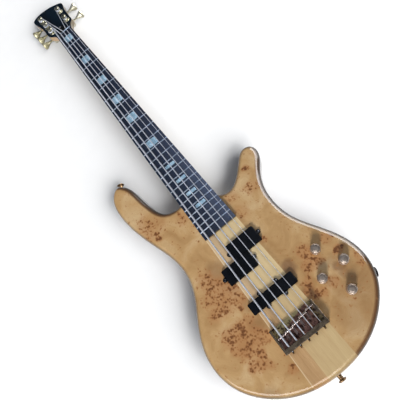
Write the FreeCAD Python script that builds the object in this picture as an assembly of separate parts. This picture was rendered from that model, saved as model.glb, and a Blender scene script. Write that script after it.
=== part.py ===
"""Five-string electric bass guitar with a through-neck, lying on its back.

Frame: X to the treble side, Y along the strings towards the head, Z up out of the face.
The origin is on the flat back, on the centre line, under the nominal end of the scale length.
Lengths are millimetres. Every piece of the instrument is its own solid, and each node is one STEP file.
"""
import FreeCAD
import Part
import math
import os

V = FreeCAD.Vector
UP = V(0, 0, 1)

# Scale, fretboard and frets
SCALE = 863.6
FRET_COUNT = 24
NUT_WIDTH = 44.0
LAST_FRET_WIDTH = 75.0
BOARD_THICK = 7.0
BOARD_TAIL = 17.0
BOARD_RADIUS = 400.0
FRET_WIDTH = 2.6
FRET_CROWN = 1.2
FRET_TANG_WIDTH = 0.6
FRET_TANG_DEPTH = 2.0
FRET_END_INSET = 0.4
INLAY_FRETS = (1, 3, 5, 7, 9, 12, 15, 17, 19, 21)
INLAY_WIDTH = 23.0
INLAY_LONG = 19.0
INLAY_SHORT = 7.0
INLAY_LAST_LONG_FRET = 12
INLAY_THICK = 1.5
INLAY_BOW = 1.2
INLAY_SHORT_BOW = 0.3
INLAY_FRET_SHARE = 0.62

# Body
BODY_THICK = 45.0
CAP_THICK = 6.0
TOP_ROUNDOVER = 10.0
BACK_ROUNDOVER = 8.0
BODY_OUTLINE = (
    (-28, 294), (-52, 293), (-73, 303), (-87, 332), (-95, 372), (-105, 407), (-122, 421),
    (-142, 408), (-152, 371), (-147, 322), (-129, 262), (-112, 208), (-109.5, 176),
    (-119, 137), (-141, 96), (-162, 52), (-169, 8), (-158, -38), (-127, -78), (-76, -109),
    (0, -122), (76, -109), (129, -77), (160, -38), (170, 8), (161, 50), (139, 93),
    (119, 134), (112.5, 174), (119, 216), (138, 249), (155, 276), (152, 295), (137, 302),
    (113, 288), (85, 262), (61, 251), (42, 256), (28, 270),
)

# Through-neck
LAMINATION_HALF = 15.5
NECK_DEPTH_AT_NUT = 14.0
NECK_DEPTH_AT_HEEL = 18.0
NECK_EDGE = 3.0
HEEL_START = 348.0
HEEL_END = 285.0
HEEL_DEEP = 60.0
HEEL_EDGE_CROWN = 0.5
TRUSS_SLOT_WIDTH = 6.4
TRUSS_SLOT_DEPTH = 9.5
TRUSS_ROD_RADIUS = 2.4
TRUSS_ROD_FIT = 0.3
TRUSS_START = 240.0
TRUSS_PAST_NUT = 26.0
TRUSS_END_BLOCK = 10.0
TRUSS_NUT_SHORT = 6.0
TRUSS_ROD_SHORT = 12.0

# Head, in its own plane: first across, then along from the back of the nut
HEAD_TILT = 8.0
HEAD_THICK = 13.0
VENEER_THICK = 1.5
HEAD_OUTLINE = (
    (22.0, 0), (23.5, 6), (30.0, 20), (36.6, 28.5), (37.0, 40), (37.3, 62), (39.6, 92), (42.6, 111),
    (41.4, 115.5), (30.0, 124), (14.0, 132.5), (-6.0, 138), (-26.0, 140), (-40.0, 136.5), (-48.0, 131.5),
    (-49.6, 124), (-45.0, 98), (-41.0, 78), (-39.6, 58), (-39.4, 38), (-36.0, 27), (-27.5, 17), (-22.8, 6),
    (-22.0, 0),
)
TRUSS_COVER_WIDTH = 15.0
TRUSS_COVER_LENGTH = 33.0
TRUSS_COVER_THICK = 2.0
TRUSS_COVER_FOOT = 1.0
TRUSS_COVER_SCREW_INSET = 4.0
TRUSS_COVER_SCREW_LENGTH = 9.0

# Nut
NUT_THICK = 5.0
NUT_ABOVE_BOARD = 2.8
STRING_ABOVE_BOARD = 1.7
NUT_STRING_SPREAD = 36.0
NUT_SLOT_FIT = 0.15
NUT_EDGE = 2.0

# Strings, from the lowest to the highest
STRING_NAMES = ("b", "e", "a", "d", "g")
STRING_DIAMETERS = (3.30, 2.67, 2.16, 1.65, 1.14)
STRING_TURNS = (1.25, 1.5, 1.75, 2.25, 2.75)
TURN_GAP = 0.5
STRING_FIT = 0.3
STRING_BEND = 12.0
BALL_RADIUS = 2.6
BALL_LENGTH = 3.4

# Tuners, in the head's plane: across, then along from the back of the nut
TUNER_PLACES = ((-24.0, 35.5), (-26.0, 68.5), (-28.5, 101.5), (24.0, 87.0), (24.5, 39.0))
POST_RADIUS = 5.0
POST_WAIST = 4.5
POST_FLANGE = 6.4
POST_HEIGHT = 14.0
POST_FLANGE_THICK = 2.0
POST_FLANGE_EDGE = 0.6
POST_CONE = 0.5
POST_SHOULDER = 0.5
POST_SLOT = 2.0
POST_SLOT_DEPTH = 4.5
STRING_AT_POST = 4.4
BUSHING_RADIUS = 9.0
BUSHING_HEIGHT = 2.3
BUSHING_SLEEVE = 6.6
WASHER_THICK = 0.8
WASHER_EDGE = 0.6
BUSHING_NUT_INSET = 0.9
RUNNING_FIT = 0.1
HOUSING_LENGTH = 25.0
HOUSING_WIDTH = 25.0
HOUSING_THICK = 11.0
HOUSING_CORNER = 5.0
HOUSING_EDGE = 2.5
HOUSING_ROOM = 0.5
LUG_RADIUS = 4.5
LUG_THICK = 2.0
LUG_REACH = 2.0
TUNER_SCREW_BITE = 11.0
GEAR_RADIUS = 6.2
GEAR_THICK = 4.2
GEAR_TEETH = 20
GEAR_TOOTH_DEPTH = 1.0
WORM_RADIUS = 2.6
WORM_LENGTH = 11.0
WORM_GAP = 0.25
KEY_SHAFT_RADIUS = 2.3
KEY_AXIS_DEPTH = 5.6
KEY_REACH = 44.0
KEY_BUTTON_LENGTH = 19.0
KEY_BUTTON_WIDTH = 18.5
KEY_BUTTON_THICK = 7.0
KEY_COLLAR_RADIUS = 3.8
KEY_COLLAR_LENGTH = 2.4
KEY_COLLAR_GAP = 0.3
KEY_NECK_SWELL = 0.5
KEY_NECK_LENGTH = 3.0
KEY_TAIL_GAP = 1.0
KEY_REST_TURN = 60.0

# Bridge
STRING_SPACING = 17.0
STRING_ABOVE_TOP = 12.2
BRIDGE_SIDE_FIT = 0.4
BRIDGE_FRONT = -2.0
BRIDGE_REAR = -49.0
BRIDGE_BASE = 2.5
BRIDGE_WALL = 4.0
BRIDGE_HEIGHT = 13.0
BRIDGE_BLOCK = 8.5
BRIDGE_EDGE = 1.2
BRIDGE_SCREW_INSET = 5.0
BRIDGE_SCREW_LENGTH = 26.0
BRIDGE_SCREW_SPACING = 15.3
SADDLE_RIDGES = (-21.0, -19.5, -17.5, -14.0, -11.0)
SADDLE_GAP = 0.6
SADDLE_BAR = 5.0
SADDLE_LENGTH = 17.0
SADDLE_RAIL = 1.6
SADDLE_LIFT = 0.3
SADDLE_RAIL_DROP = 2.6
SADDLE_GROOVE_FIT = 0.3
HEIGHT_SCREW_RADIUS = 1.25
HEIGHT_SCREW_SIDE = 5.4
LENGTH_SCREW_RADIUS = 1.4
LENGTH_SCREW_FIT = 0.12
LENGTH_SCREW_HEAD = 2.0
LENGTH_SCREW_HEAD_THICK = 2.2
LENGTH_SCREW_DRIVE = 0.7
LENGTH_SCREW_DRIVE_DEPTH = 0.8
LENGTH_SCREW_LEVEL = 4.9
STRING_HOLE_LEVEL = 9.9

# Pickups
PICKUP_ABOVE_TOP = 6.5
PICKUP_WALL = 1.6
PICKUP_DEPTH = 15.0
PICKUP_CORNER = 3.0
PICKUP_EDGE = 1.2
PICKUP_ROUTE_FIT = 0.6
PICKUP_ROUTE_DEPTH = 20.0
SPLIT_LENGTH = 64.0
SPLIT_WIDTH = 32.5
SPLIT_BASS_CENTRE = (-19.0, 116.0)
SPLIT_TREBLE_CENTRE = (16.5, 148.5)
BAR_LENGTH = 99.0
BAR_WIDTH = 22.0
BAR_CENTRE = (0.0, 45.0)
BAR_EAR_SIDE = 19.0
EAR_RADIUS = 4.2
SPLIT_EAR_REACH = 3.2
BAR_EAR_REACH = 2.9
EAR_THICK = 3.0
COIL_FIT = 0.3
COIL_CORNER = 1.0

# Controls
KNOB_PLACES = {
    "neck_volume_knob": (109.0, 57.5),
    "bridge_volume_knob": (84.5, 12.0),
    "treble_knob": (134.0, 14.5),
    "bass_knob": (110.0, -31.0),
}
KNOB_RADIUS = 9.5
KNOB_HEIGHT = 15.5
KNOB_LIFT = 0.6
KNOB_TAPER = 0.9
KNOB_DOME = 1.6
KNOB_SKIRT_BORE = 8.0
KNOB_SKIRT_DEPTH = 3.6
POT_RADIUS = 12.0
POT_THICK = 9.0
POT_BUSHING_RADIUS = 4.6
POT_NUT_RADIUS = 6.8
POT_NUT_THICK = 2.2
POT_SHAFT_RADIUS = 3.0
POT_BUSHING_PROUD = 0.6
SHAFT_END_GAP = 0.3
KNOB_CROWN = 2.4
SET_SCREW_RADIUS = 1.3
SET_SCREW_SUNK = 0.8
CAVITY_MARGIN = 22.0
CAVITY_CEILING = 8.0
COVER_LEDGE = 5.0
COVER_THICK = 3.0
COVER_FIT = 0.3
BATTERY_SIZE = (26.5, 48.5, 17.0)
PREAMP_SIZE = (38.0, 50.0, 1.6)
WIRE_RADIUS = 1.2
WIRE_CHANNEL_RADIUS = 4.0
WIRE_LEVEL = 27.5
WIRE_OUTLET_INSET = 6.0
WIRE_SPACING = 3.0

# Output jack on the lower treble edge
JACK_NEAR = (162.0, -33.5)
JACK_LEVEL = 21.0
JACK_CUP_RADIUS = 9.4
JACK_CUP_THICK = 6.8
JACK_CUP_SUNK = 2.2
JACK_CUP_DISH = 2.2
JACK_CUP_EDGE = 2.0
JACK_DISH_FIT = 0.5
JACK_HOLE_FIT = 0.6
JACK_PROUD = 0.2
JACK_END = 2.0
JACK_BARREL_RADIUS = 5.4
JACK_BORE_RADIUS = 3.25
JACK_LENGTH = 30.0
JACK_NUT_RADIUS = 7.0
JACK_NUT_THICK = 2.0

# Strap buttons
STRAP_BASE_RADIUS = 7.0
STRAP_WAIST_RADIUS = 4.2
STRAP_HEAD_RADIUS = 7.6
STRAP_HEIGHT = 13.5
STRAP_SUNK = 1.2
STRAP_FOOT = 2.0
STRAP_NECK = 3.0
STRAP_SWELL = 0.8
STRAP_HEAD_THICK = 2.4
STRAP_HEAD_EDGE = 1.2
STRAP_SCREW_LENGTH = 36.0
STRAP_LEVEL = 22.0
STRAP_HORN_NEAR = (-119.0, 421.0)
STRAP_TAIL_NEAR = (0.0, -122.0)

# Wood screws, all countersunk or pan headed
SCREW_RADIUS = 1.4
SCREW_HEAD_RADIUS = 2.7
SCREW_HEAD_THICK = 1.5
SCREW_LENGTH = 12.0

# Levels that several pieces share
BOARD_TOP = BODY_THICK + BOARD_THICK
CAP_LEVEL = BODY_THICK - CAP_THICK
HEAD_START = SCALE + NUT_THICK
CAVITY_TOP = BODY_THICK - CAVITY_CEILING
FAR = 1500.0


# Shapes that are used throughout

def box(x0, x1, y0, y1, z0, z1):
    """A block between two corners."""
    return Part.makeBox(x1 - x0, y1 - y0, z1 - z0, V(x0, y0, z0))


def rod(radius, start, end):
    """A round bar from one point to another."""
    along = end - start
    return Part.makeCylinder(radius, along.Length, start, along)


def prism(points, z0, z1):
    """An upright prism over a polygon of plan points."""
    corners = [V(x, y, z0) for x, y in points]
    face = Part.Face(Part.makePolygon(corners + corners[:1]))
    return face.extrude(V(0, 0, z1 - z0))


def rounded_block(length, width, corner, centre, z0, z1):
    """An upright block with rounded upright edges, centred on a plan point."""
    x, y = centre
    block = box(x - length / 2, x + length / 2, y - width / 2, y + width / 2, z0, z1)
    upright = [e for e in block.Edges if abs(e.tangentAt(e.FirstParameter).z) > 0.5]
    return block.makeFillet(corner, upright)


def turned(profile, base, axis):
    """A turned piece: (radius, height) points spun about an axis through base."""
    points = [V(r, 0, h) for r, h in profile]
    face = Part.Face(Part.makePolygon(points + points[:1]))
    solid = face.revolve(V(0, 0, 0), UP, 360)
    solid.Placement = FreeCAD.Placement(base, FreeCAD.Rotation(UP, axis))
    return solid


def hexagon(radius, z0, z1, base, axis):
    """A six-sided nut blank from z0 to z1 along an axis through base."""
    points = [(radius * math.cos(k * math.pi / 3), radius * math.sin(k * math.pi / 3)) for k in range(6)]
    solid = prism(points, z0, z1)
    solid.Placement = FreeCAD.Placement(base, FreeCAD.Rotation(UP, axis))
    return solid


def pan_screw(seat, axis, length=SCREW_LENGTH):
    """A pan-headed screw whose head sits on seat; axis points out of the head."""
    profile = (
        (0, -length), (SCREW_RADIUS, -length + SCREW_RADIUS), (SCREW_RADIUS, 0), (SCREW_HEAD_RADIUS, 0),
        (SCREW_HEAD_RADIUS, SCREW_HEAD_THICK * 0.55), (SCREW_HEAD_RADIUS * 0.6, SCREW_HEAD_THICK),
        (0, SCREW_HEAD_THICK),
    )
    return turned(profile, seat, axis)


def flat_screw(seat, axis, length=SCREW_LENGTH):
    """A countersunk screw whose head is flush with seat; axis points out of the head."""
    cone = SCREW_HEAD_RADIUS - SCREW_RADIUS
    profile = (
        (0, -length), (SCREW_RADIUS, -length + SCREW_RADIUS), (SCREW_RADIUS, -cone),
        (SCREW_HEAD_RADIUS, 0), (0, 0),
    )
    return turned(profile, seat, axis)


def cut_all(solid, tools):
    """A solid less every tool that reaches it."""
    near = [t for t in tools if t.BoundBox.intersect(solid.BoundBox)]
    return solid.cut(near) if near else solid


def group(solids):
    """Several separate solids as one node."""
    return Part.makeCompound(solids)


# Neck, fretboard and frets

def fret_y(number):
    """Where a fret lies, by the twelfth root of two; fret 0 is the nut's front face."""
    return SCALE * 2 ** (-number / 12)


BOARD_END = fret_y(FRET_COUNT) - BOARD_TAIL


def neck_width(y):
    """Width of the neck blank and the fretboard, which share one taper from nut to tail."""
    return NUT_WIDTH + (LAST_FRET_WIDTH - NUT_WIDTH) * (SCALE - y) / (SCALE - fret_y(FRET_COUNT))


def taper(y0, y1, z0, z1, inset=0.0):
    """A prism of the neck's own taper between two places."""
    a, b = neck_width(y0) / 2 - inset, neck_width(y1) / 2 - inset
    return prism([(-a, y0), (a, y0), (b, y1), (-b, y1)], z0, z1)


def neck_section(y, depth, edge):
    """Outline across the neck: flat top, short upright edges and a round back."""
    half = neck_width(y) / 2
    top_left, top_right = V(-half, y, BODY_THICK), V(half, y, BODY_THICK)
    low_left, low_right = V(-half, y, BODY_THICK - edge), V(half, y, BODY_THICK - edge)
    back = V(0, y, BODY_THICK - depth)
    return Part.Wire([
        Part.LineSegment(top_left, top_right).toShape(),
        Part.LineSegment(top_right, low_right).toShape(),
        Part.Arc(low_right, back, low_left).toShape(),
        Part.LineSegment(low_left, top_left).toShape(),
    ])


def neck_shaft():
    """The part of the neck that the hand holds, from the back of the nut to the heel."""
    slope = (NECK_DEPTH_AT_HEEL - NECK_DEPTH_AT_NUT) / (SCALE - HEEL_START)
    depth_at_head = NECK_DEPTH_AT_NUT - slope * NUT_THICK
    sections = [
        neck_section(HEAD_START, depth_at_head, NECK_EDGE),
        neck_section(HEEL_START, NECK_DEPTH_AT_HEEL, NECK_EDGE),
    ]
    return Part.makeLoft(sections, True, True)


def neck_heel():
    """The carved heel, where the neck deepens to the body's full thickness."""
    sections = [
        neck_section(HEEL_START, NECK_DEPTH_AT_HEEL, NECK_EDGE),
        neck_section(HEEL_END, BODY_THICK, BODY_THICK - HEEL_EDGE_CROWN),
    ]
    return Part.makeLoft(sections, True, True)


HEAD_PLACE = FreeCAD.Placement(V(0, HEAD_START, BODY_THICK), FreeCAD.Rotation(V(1, 0, 0), -HEAD_TILT))


def on_head(shape):
    """Moves a shape from the head's own plane to its place behind the nut."""
    moved = shape.copy()
    moved.Placement = HEAD_PLACE.multiply(moved.Placement)
    return moved


def head_plate(z0, z1):
    """A plate of the head's outline, in the head's own plane."""
    points = [V(x, y, z0) for x, y in HEAD_OUTLINE]
    curve = Part.BSplineCurve()
    curve.interpolate(points)
    rim = [curve.toShape(), Part.LineSegment(points[-1], points[0]).toShape()]
    return Part.Face(Part.Wire(rim)).extrude(V(0, 0, z1 - z0))


def fretboard_blank():
    """The fretboard before its slots: a tapered slab with a cambered top."""
    slab = taper(BOARD_END, SCALE, BODY_THICK, BOARD_TOP)
    barrel = Part.makeCylinder(
        BOARD_RADIUS, FAR, V(0, -FAR / 4, BOARD_TOP - BOARD_RADIUS), V(0, 1, 0))
    return slab.common(barrel)


def camber(x):
    """How far the fretboard's top falls below its middle at a distance from the centre line."""
    return BOARD_RADIUS - math.sqrt(BOARD_RADIUS ** 2 - x ** 2)


def fret(number):
    """One fret: a round crown and a tang, bent to the fretboard's camber."""
    y = fret_y(number)
    half, tang = FRET_WIDTH / 2, FRET_TANG_WIDTH / 2
    r = BOARD_RADIUS
    rim = [
        Part.Arc(V(0, y - half, r), V(0, y, r + FRET_CROWN), V(0, y + half, r)).toShape(),
        Part.makePolygon([
            V(0, y + half, r), V(0, y + tang, r), V(0, y + tang, r - FRET_TANG_DEPTH),
            V(0, y - tang, r - FRET_TANG_DEPTH), V(0, y - tang, r), V(0, y - half, r),
        ]),
    ]
    edges = rim[0].Edges + rim[1].Edges
    profile = Part.Face(Part.Wire(edges))
    sweep = 2 * math.degrees(math.asin(neck_width(y) / 2 / r)) + 2
    bent = profile.revolve(V(0, 0, 0), V(0, 1, 0), sweep)
    bent.rotate(V(0, 0, 0), V(0, 1, 0), -sweep / 2)
    bent.translate(V(0, 0, BOARD_TOP - r))
    trim = taper(y - FRET_WIDTH, y + FRET_WIDTH, BODY_THICK, BOARD_TOP + FRET_CROWN * 2, FRET_END_INSET)
    return bent.common(trim)


def inlay(number):
    """One position block, with bowed long sides, between a fret and the one before it."""
    low, high = fret_y(number), fret_y(number - 1)
    middle = (low + high) / 2
    is_long = number <= INLAY_LAST_LONG_FRET
    long_side = INLAY_LONG if is_long else INLAY_SHORT
    bow = INLAY_BOW if is_long else INLAY_SHORT_BOW
    reach = min(long_side, (high - low) * INLAY_FRET_SHARE) / 2
    half = INLAY_WIDTH / 2
    z0 = BOARD_TOP - INLAY_THICK
    corners = [V(-half, middle - reach, z0), V(half, middle - reach, z0),
               V(half, middle + reach, z0), V(-half, middle + reach, z0)]
    rim = [
        Part.Arc(corners[0], V(0, middle - reach - bow, z0), corners[1]).toShape(),
        Part.LineSegment(corners[1], corners[2]).toShape(),
        Part.Arc(corners[2], V(0, middle + reach + bow, z0), corners[3]).toShape(),
        Part.LineSegment(corners[3], corners[0]).toShape(),
    ]
    return Part.Face(Part.Wire(rim)).extrude(V(0, 0, INLAY_THICK))


# Body

def body_curve():
    """The body's edge as one smooth curve, from the bass cutaway round to the treble cutaway."""
    curve = Part.BSplineCurve()
    curve.interpolate([V(x, y, 0) for x, y in BODY_OUTLINE])
    return curve


BODY_CURVE = body_curve()


def edge_place(near, level):
    """A point on the body's edge nearest to a plan point, with the outward direction there."""
    parameter = BODY_CURVE.parameter(V(near[0], near[1], 0))
    along = BODY_CURVE.tangent(parameter)[0]
    place = BODY_CURVE.value(parameter)
    return V(place.x, place.y, level), V(-along.y, along.x, 0) * -1


def body_blank():
    """The whole body before it is divided: the outline with both rims rounded over."""
    first, last = V(*BODY_OUTLINE[0], 0), V(*BODY_OUTLINE[-1], 0)
    rim = Part.Wire([BODY_CURVE.toShape(), Part.LineSegment(last, first).toShape()])
    blank = Part.Face(rim).extrude(V(0, 0, BODY_THICK))
    curved = [e for e in blank.Edges if isinstance(e.Curve, Part.BSplineCurve)]
    top = [e for e in curved if e.BoundBox.ZMin > BODY_THICK - 0.01]
    back = [e for e in curved if e.BoundBox.ZMax < 0.01]
    blank = blank.makeFillet(TOP_ROUNDOVER, top)
    back = [e for e in blank.Edges if e.BoundBox.ZMax < 0.01 and e.Length > BODY_THICK * 4]
    return blank.makeFillet(BACK_ROUNDOVER, back)


# Strings

def string_x(number, at_bridge):
    """Where a string crosses the nut or its saddle."""
    place = number - (len(STRING_NAMES) - 1) / 2
    spacing = STRING_SPACING if at_bridge else NUT_STRING_SPREAD / (len(STRING_NAMES) - 1)
    return place * spacing


def saddle_point(number):
    """The middle of a string where it leaves its saddle."""
    x = string_x(number, True)
    z = BODY_THICK + STRING_ABOVE_TOP - camber(x) + STRING_DIAMETERS[number] / 2
    return V(x, SADDLE_RIDGES[number], z)


def nut_point(number):
    """The middle of a string in its nut slot."""
    x = string_x(number, False)
    z = BOARD_TOP + STRING_ABOVE_BOARD - camber(x) + STRING_DIAMETERS[number] / 2
    return V(x, SCALE + NUT_THICK / 2, z)


def ball_point(number):
    """The middle of a string's ball end, against the back of the bridge."""
    return V(string_x(number, True), BRIDGE_REAR - BALL_RADIUS, BODY_THICK + STRING_HOLE_LEVEL)


def turn_radius(number):
    """Radius of a string's middle line where it is wound on its post."""
    return POST_WAIST + STRING_FIT + STRING_DIAMETERS[number] / 2


def arc_from(start, tangent, end):
    """The circular arc that leaves start along tangent and arrives at end."""
    chord = end - start
    side = chord - tangent * chord.dot(tangent)
    if side.Length < 1e-6:
        return Part.LineSegment(start, end).toShape()
    side.normalize()
    radius = chord.Length ** 2 / (2 * chord.dot(side))
    centre = start + side * radius
    angle = math.atan2(chord.dot(tangent), radius - chord.dot(side))
    half = angle / 2
    middle = centre + (tangent * math.sin(half) - side * math.cos(half)) * radius
    return Part.Arc(start, middle, end).toShape()


def biarc(start, start_tangent, end, end_tangent):
    """Two arcs that join smoothly and meet both ends along their tangents."""
    gap = end - start
    both = start_tangent + end_tangent
    a = 2 * (1 - start_tangent.dot(end_tangent))
    b = gap.dot(both)
    c = gap.dot(gap)
    reach = (-b + math.sqrt(b * b + a * c)) / a if a > 1e-9 else c / (4 * gap.dot(end_tangent))
    joint = (start + end + (start_tangent - end_tangent) * reach) * 0.5
    corner = start + start_tangent * reach
    joint_tangent = joint - corner
    joint_tangent.normalize()
    return [arc_from(start, start_tangent, joint), arc_from(joint, joint_tangent, end)]


def post_turns(number, arrive):
    """Points and tangents of a string's turns on its post, in the head's own plane.

    The first point is where a straight run from arrive touches the winding on the inner side.
    """
    x, y = TUNER_PLACES[number]
    radius = turn_radius(number)
    to_post = V(x - arrive.x, y - arrive.y, 0)
    hand = 1 if x < 0 else -1
    lead = math.atan2(to_post.y, to_post.x)
    offset = math.asin(radius / to_post.Length)
    heading = lead - hand * offset
    start = heading - hand * math.pi / 2
    pitch = STRING_DIAMETERS[number] + TURN_GAP
    quarters = round(STRING_TURNS[number] * 4)
    places = []
    for k in range(quarters + 1):
        angle = start + hand * k * math.pi / 2
        height = STRING_AT_POST + VENEER_THICK + pitch * k / 4
        place = V(x + radius * math.cos(angle), y + radius * math.sin(angle), height)
        way = V(-math.sin(angle), math.cos(angle), 0) * (hand * 2 * math.pi * radius) + UP * pitch
        way.normalize()
        places.append((place, way))
    return places


def placed_turns(number):
    """The turns on a post, in the instrument's frame, reached from the string's nut slot."""
    turns = post_turns(number, HEAD_PLACE.inverse().multVec(nut_point(number)))
    return [(HEAD_PLACE.multVec(p), HEAD_PLACE.Rotation.multVec(t)) for p, t in turns]


def string_path(number):
    """The whole line of a string as edges: ball, saddle, nut and the turns on its post."""
    ball, saddle, nut = ball_point(number), saddle_point(number), nut_point(number)
    turns = placed_turns(number)
    edges = []
    here = ball
    touch = turns[0][0]
    for corner, after in ((saddle, nut), (nut, touch)):
        into, out = corner - here, after - corner
        into.normalize()
        out.normalize()
        turn = into.getAngle(out)
        cut = STRING_BEND * math.tan(turn / 2)
        first, last = corner - into * cut, corner + out * cut
        edges.append(Part.LineSegment(here, first).toShape())
        edges.append(arc_from(first, into, last))
        here = last
    run = touch - here
    run.normalize()
    edges.append(Part.LineSegment(here, touch).toShape())
    turns[0] = (touch, run)
    for (p, t), (q, u) in zip(turns, turns[1:]):
        edges += biarc(p, t, q, u)
    return edges


def report_turn_gap(number):
    """Prints the least gap between a string's neighbouring turns, measured on points."""
    points = [p for p, _ in placed_turns(number)]
    apart = min((p - q).Length for i, p in enumerate(points) for q in points[i + 3:])
    print(f"string {STRING_NAMES[number]}: least gap between turns {apart - STRING_DIAMETERS[number]:.2f} mm")


def string(number):
    """One wound string with its ball end."""
    path = Part.Wire(string_path(number))
    first = path.Edges[0]
    start = first.valueAt(first.FirstParameter)
    along = first.tangentAt(first.FirstParameter)
    ring = Part.Wire(Part.makeCircle(STRING_DIAMETERS[number] / 2, start, along))
    tube = path.makePipeShell([ring], True, False)
    ball = Part.makeCylinder(
        BALL_RADIUS, BALL_LENGTH, ball_point(number) - V(BALL_LENGTH / 2, 0, 0), V(1, 0, 0))
    expected = math.pi * (STRING_DIAMETERS[number] / 2) ** 2 * path.Length
    print(f"string {STRING_NAMES[number]}: {path.Length:.1f} mm, volume over section x length "
          f"{tube.Volume / expected:.4f}")
    return tube.fuse(ball)


# Tuners, each made in the head's own plane and then moved

def tuner_side(number):
    """The side that a tuner's key points to."""
    return -1 if TUNER_PLACES[number][0] < 0 else 1


def key_axis(number):
    """A point on a tuner's key axis beside its post, in the head's own plane."""
    x, y = TUNER_PLACES[number]
    return V(x, y + GEAR_RADIUS + WORM_RADIUS + WORM_GAP, -HEAD_THICK - KEY_AXIS_DEPTH)


def tuner_post(number):
    """The string post with its gear wheel, which turn as one."""
    x, y = TUNER_PLACES[number]
    face = VENEER_THICK
    gear_low = -HEAD_THICK - KEY_AXIS_DEPTH - GEAR_THICK / 2
    top = face + POST_HEIGHT
    profile = (
        (0, gear_low), (POST_RADIUS, gear_low), (POST_RADIUS, face + BUSHING_HEIGHT),
        (POST_WAIST, face + BUSHING_HEIGHT + POST_SHOULDER),
        (POST_WAIST, top - POST_FLANGE_THICK - POST_CONE),
        (POST_FLANGE, top - POST_FLANGE_THICK), (POST_FLANGE, top - POST_FLANGE_EDGE),
        (POST_FLANGE - POST_FLANGE_EDGE, top), (0, top),
    )
    post = turned(profile, V(x, y, 0), UP)
    wheel = Part.makeCylinder(GEAR_RADIUS, GEAR_THICK, V(x, y, gear_low), UP)
    step = 2 * math.pi / GEAR_TEETH
    gaps = []
    for k in range(GEAR_TEETH):
        angle = (k + 0.5) * step
        middle = V(x + GEAR_RADIUS * math.cos(angle), y + GEAR_RADIUS * math.sin(angle), gear_low - 1)
        gaps.append(Part.makeCylinder(GEAR_TOOTH_DEPTH, GEAR_THICK + 2, middle, UP))
    wheel = wheel.cut(gaps)
    slot = box(x - POST_SLOT / 2, x + POST_SLOT / 2, y - POST_FLANGE - 1, y + POST_FLANGE + 1,
               top - POST_SLOT_DEPTH, top + 1)
    return on_head(post.fuse(wheel).cut(slot))


def tuner_key(number):
    """The worm, its shaft and the flared button, which turn as one."""
    side = tuner_side(number)
    axis = key_axis(number)
    out = V(side, 0, 0)
    worm = Part.makeCylinder(WORM_RADIUS, WORM_LENGTH, axis - out * (WORM_LENGTH / 2), out)
    stem_end = KEY_REACH - KEY_BUTTON_LENGTH
    tail = HOUSING_WIDTH / 2 - KEY_TAIL_GAP
    shaft = Part.makeCylinder(KEY_SHAFT_RADIUS, stem_end + tail, axis - out * tail, out)
    collar = Part.makeCylinder(
        KEY_COLLAR_RADIUS, KEY_COLLAR_LENGTH, axis + out * (HOUSING_WIDTH / 2 + KEY_COLLAR_GAP), out)
    neck = KEY_SHAFT_RADIUS + KEY_NECK_SWELL
    half_wide, half_thick = KEY_BUTTON_WIDTH / 2, KEY_BUTTON_THICK / 2
    stations = (
        (stem_end - KEY_NECK_LENGTH, neck, neck),
        (stem_end + KEY_BUTTON_LENGTH * 0.20, half_wide * 0.52, half_thick * 0.84),
        (stem_end + KEY_BUTTON_LENGTH * 0.55, half_wide * 0.86, half_thick),
        (stem_end + KEY_BUTTON_LENGTH * 0.88, half_wide, half_thick),
        (KEY_REACH, half_wide * 0.84, half_thick * 0.68),
    )
    rings = []
    for reach, wide, thick in stations:
        ellipse = Part.Ellipse(V(0, 0, 0), max(wide, thick + 0.01), thick)
        ring = Part.Wire(ellipse.toShape())
        ring.rotate(V(0, 0, 0), V(0, 1, 0), 90)
        ring.rotate(V(0, 0, 0), V(1, 0, 0), 90 + KEY_REST_TURN)
        ring.translate(axis + out * reach)
        rings.append(ring)
    button = Part.makeLoft(rings, True, False)
    return on_head(worm.fuse([shaft, collar, button]))


def tuner_housing(number):
    """The closed gear case behind the head, with a lug for its screw."""
    x, y = TUNER_PLACES[number]
    axis = key_axis(number)
    top = -HEAD_THICK
    middle = (axis.y + y) / 2
    case = rounded_block(HOUSING_WIDTH, HOUSING_LENGTH, HOUSING_CORNER, (x, middle), top - HOUSING_THICK, top)
    rim = [e for e in case.Edges if e.BoundBox.ZMax < top - HOUSING_THICK + 0.01]
    case = case.makeFillet(HOUSING_EDGE, rim)
    lug = Part.makeCylinder(LUG_RADIUS, LUG_THICK, tuner_screw_seat(number), UP)
    room_radius = GEAR_RADIUS + HOUSING_ROOM
    room = Part.makeCylinder(room_radius, HOUSING_THICK, V(x, y, axis.z - GEAR_THICK / 2 - HOUSING_ROOM), UP)
    room_length = WORM_LENGTH + 2 * HOUSING_ROOM
    worm_room = Part.makeCylinder(WORM_RADIUS + HOUSING_ROOM, room_length,
                                  axis - V(room_length / 2, 0, 0), V(1, 0, 0))
    out = V(tuner_side(number), 0, 0)
    bore = Part.makeCylinder(KEY_SHAFT_RADIUS + RUNNING_FIT, HOUSING_WIDTH * 2,
                             axis - out * (HOUSING_WIDTH / 2 - KEY_TAIL_GAP / 2), out)
    return on_head(case.fuse(lug).cut([room, worm_room, bore, tuner_screw(number)]))


def tuner_screw_seat(number):
    """Where a gear case's screw head bears on its lug, in the head's own plane."""
    x, y = TUNER_PLACES[number]
    middle = (key_axis(number).y + y) / 2
    return V(x, middle - HOUSING_LENGTH / 2 - LUG_REACH, -HEAD_THICK - LUG_THICK)


def tuner_screw(number):
    """The screw that holds a gear case to the back of the head, in the head's own plane."""
    return pan_screw(tuner_screw_seat(number), V(0, 0, -1), TUNER_SCREW_BITE)


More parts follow.
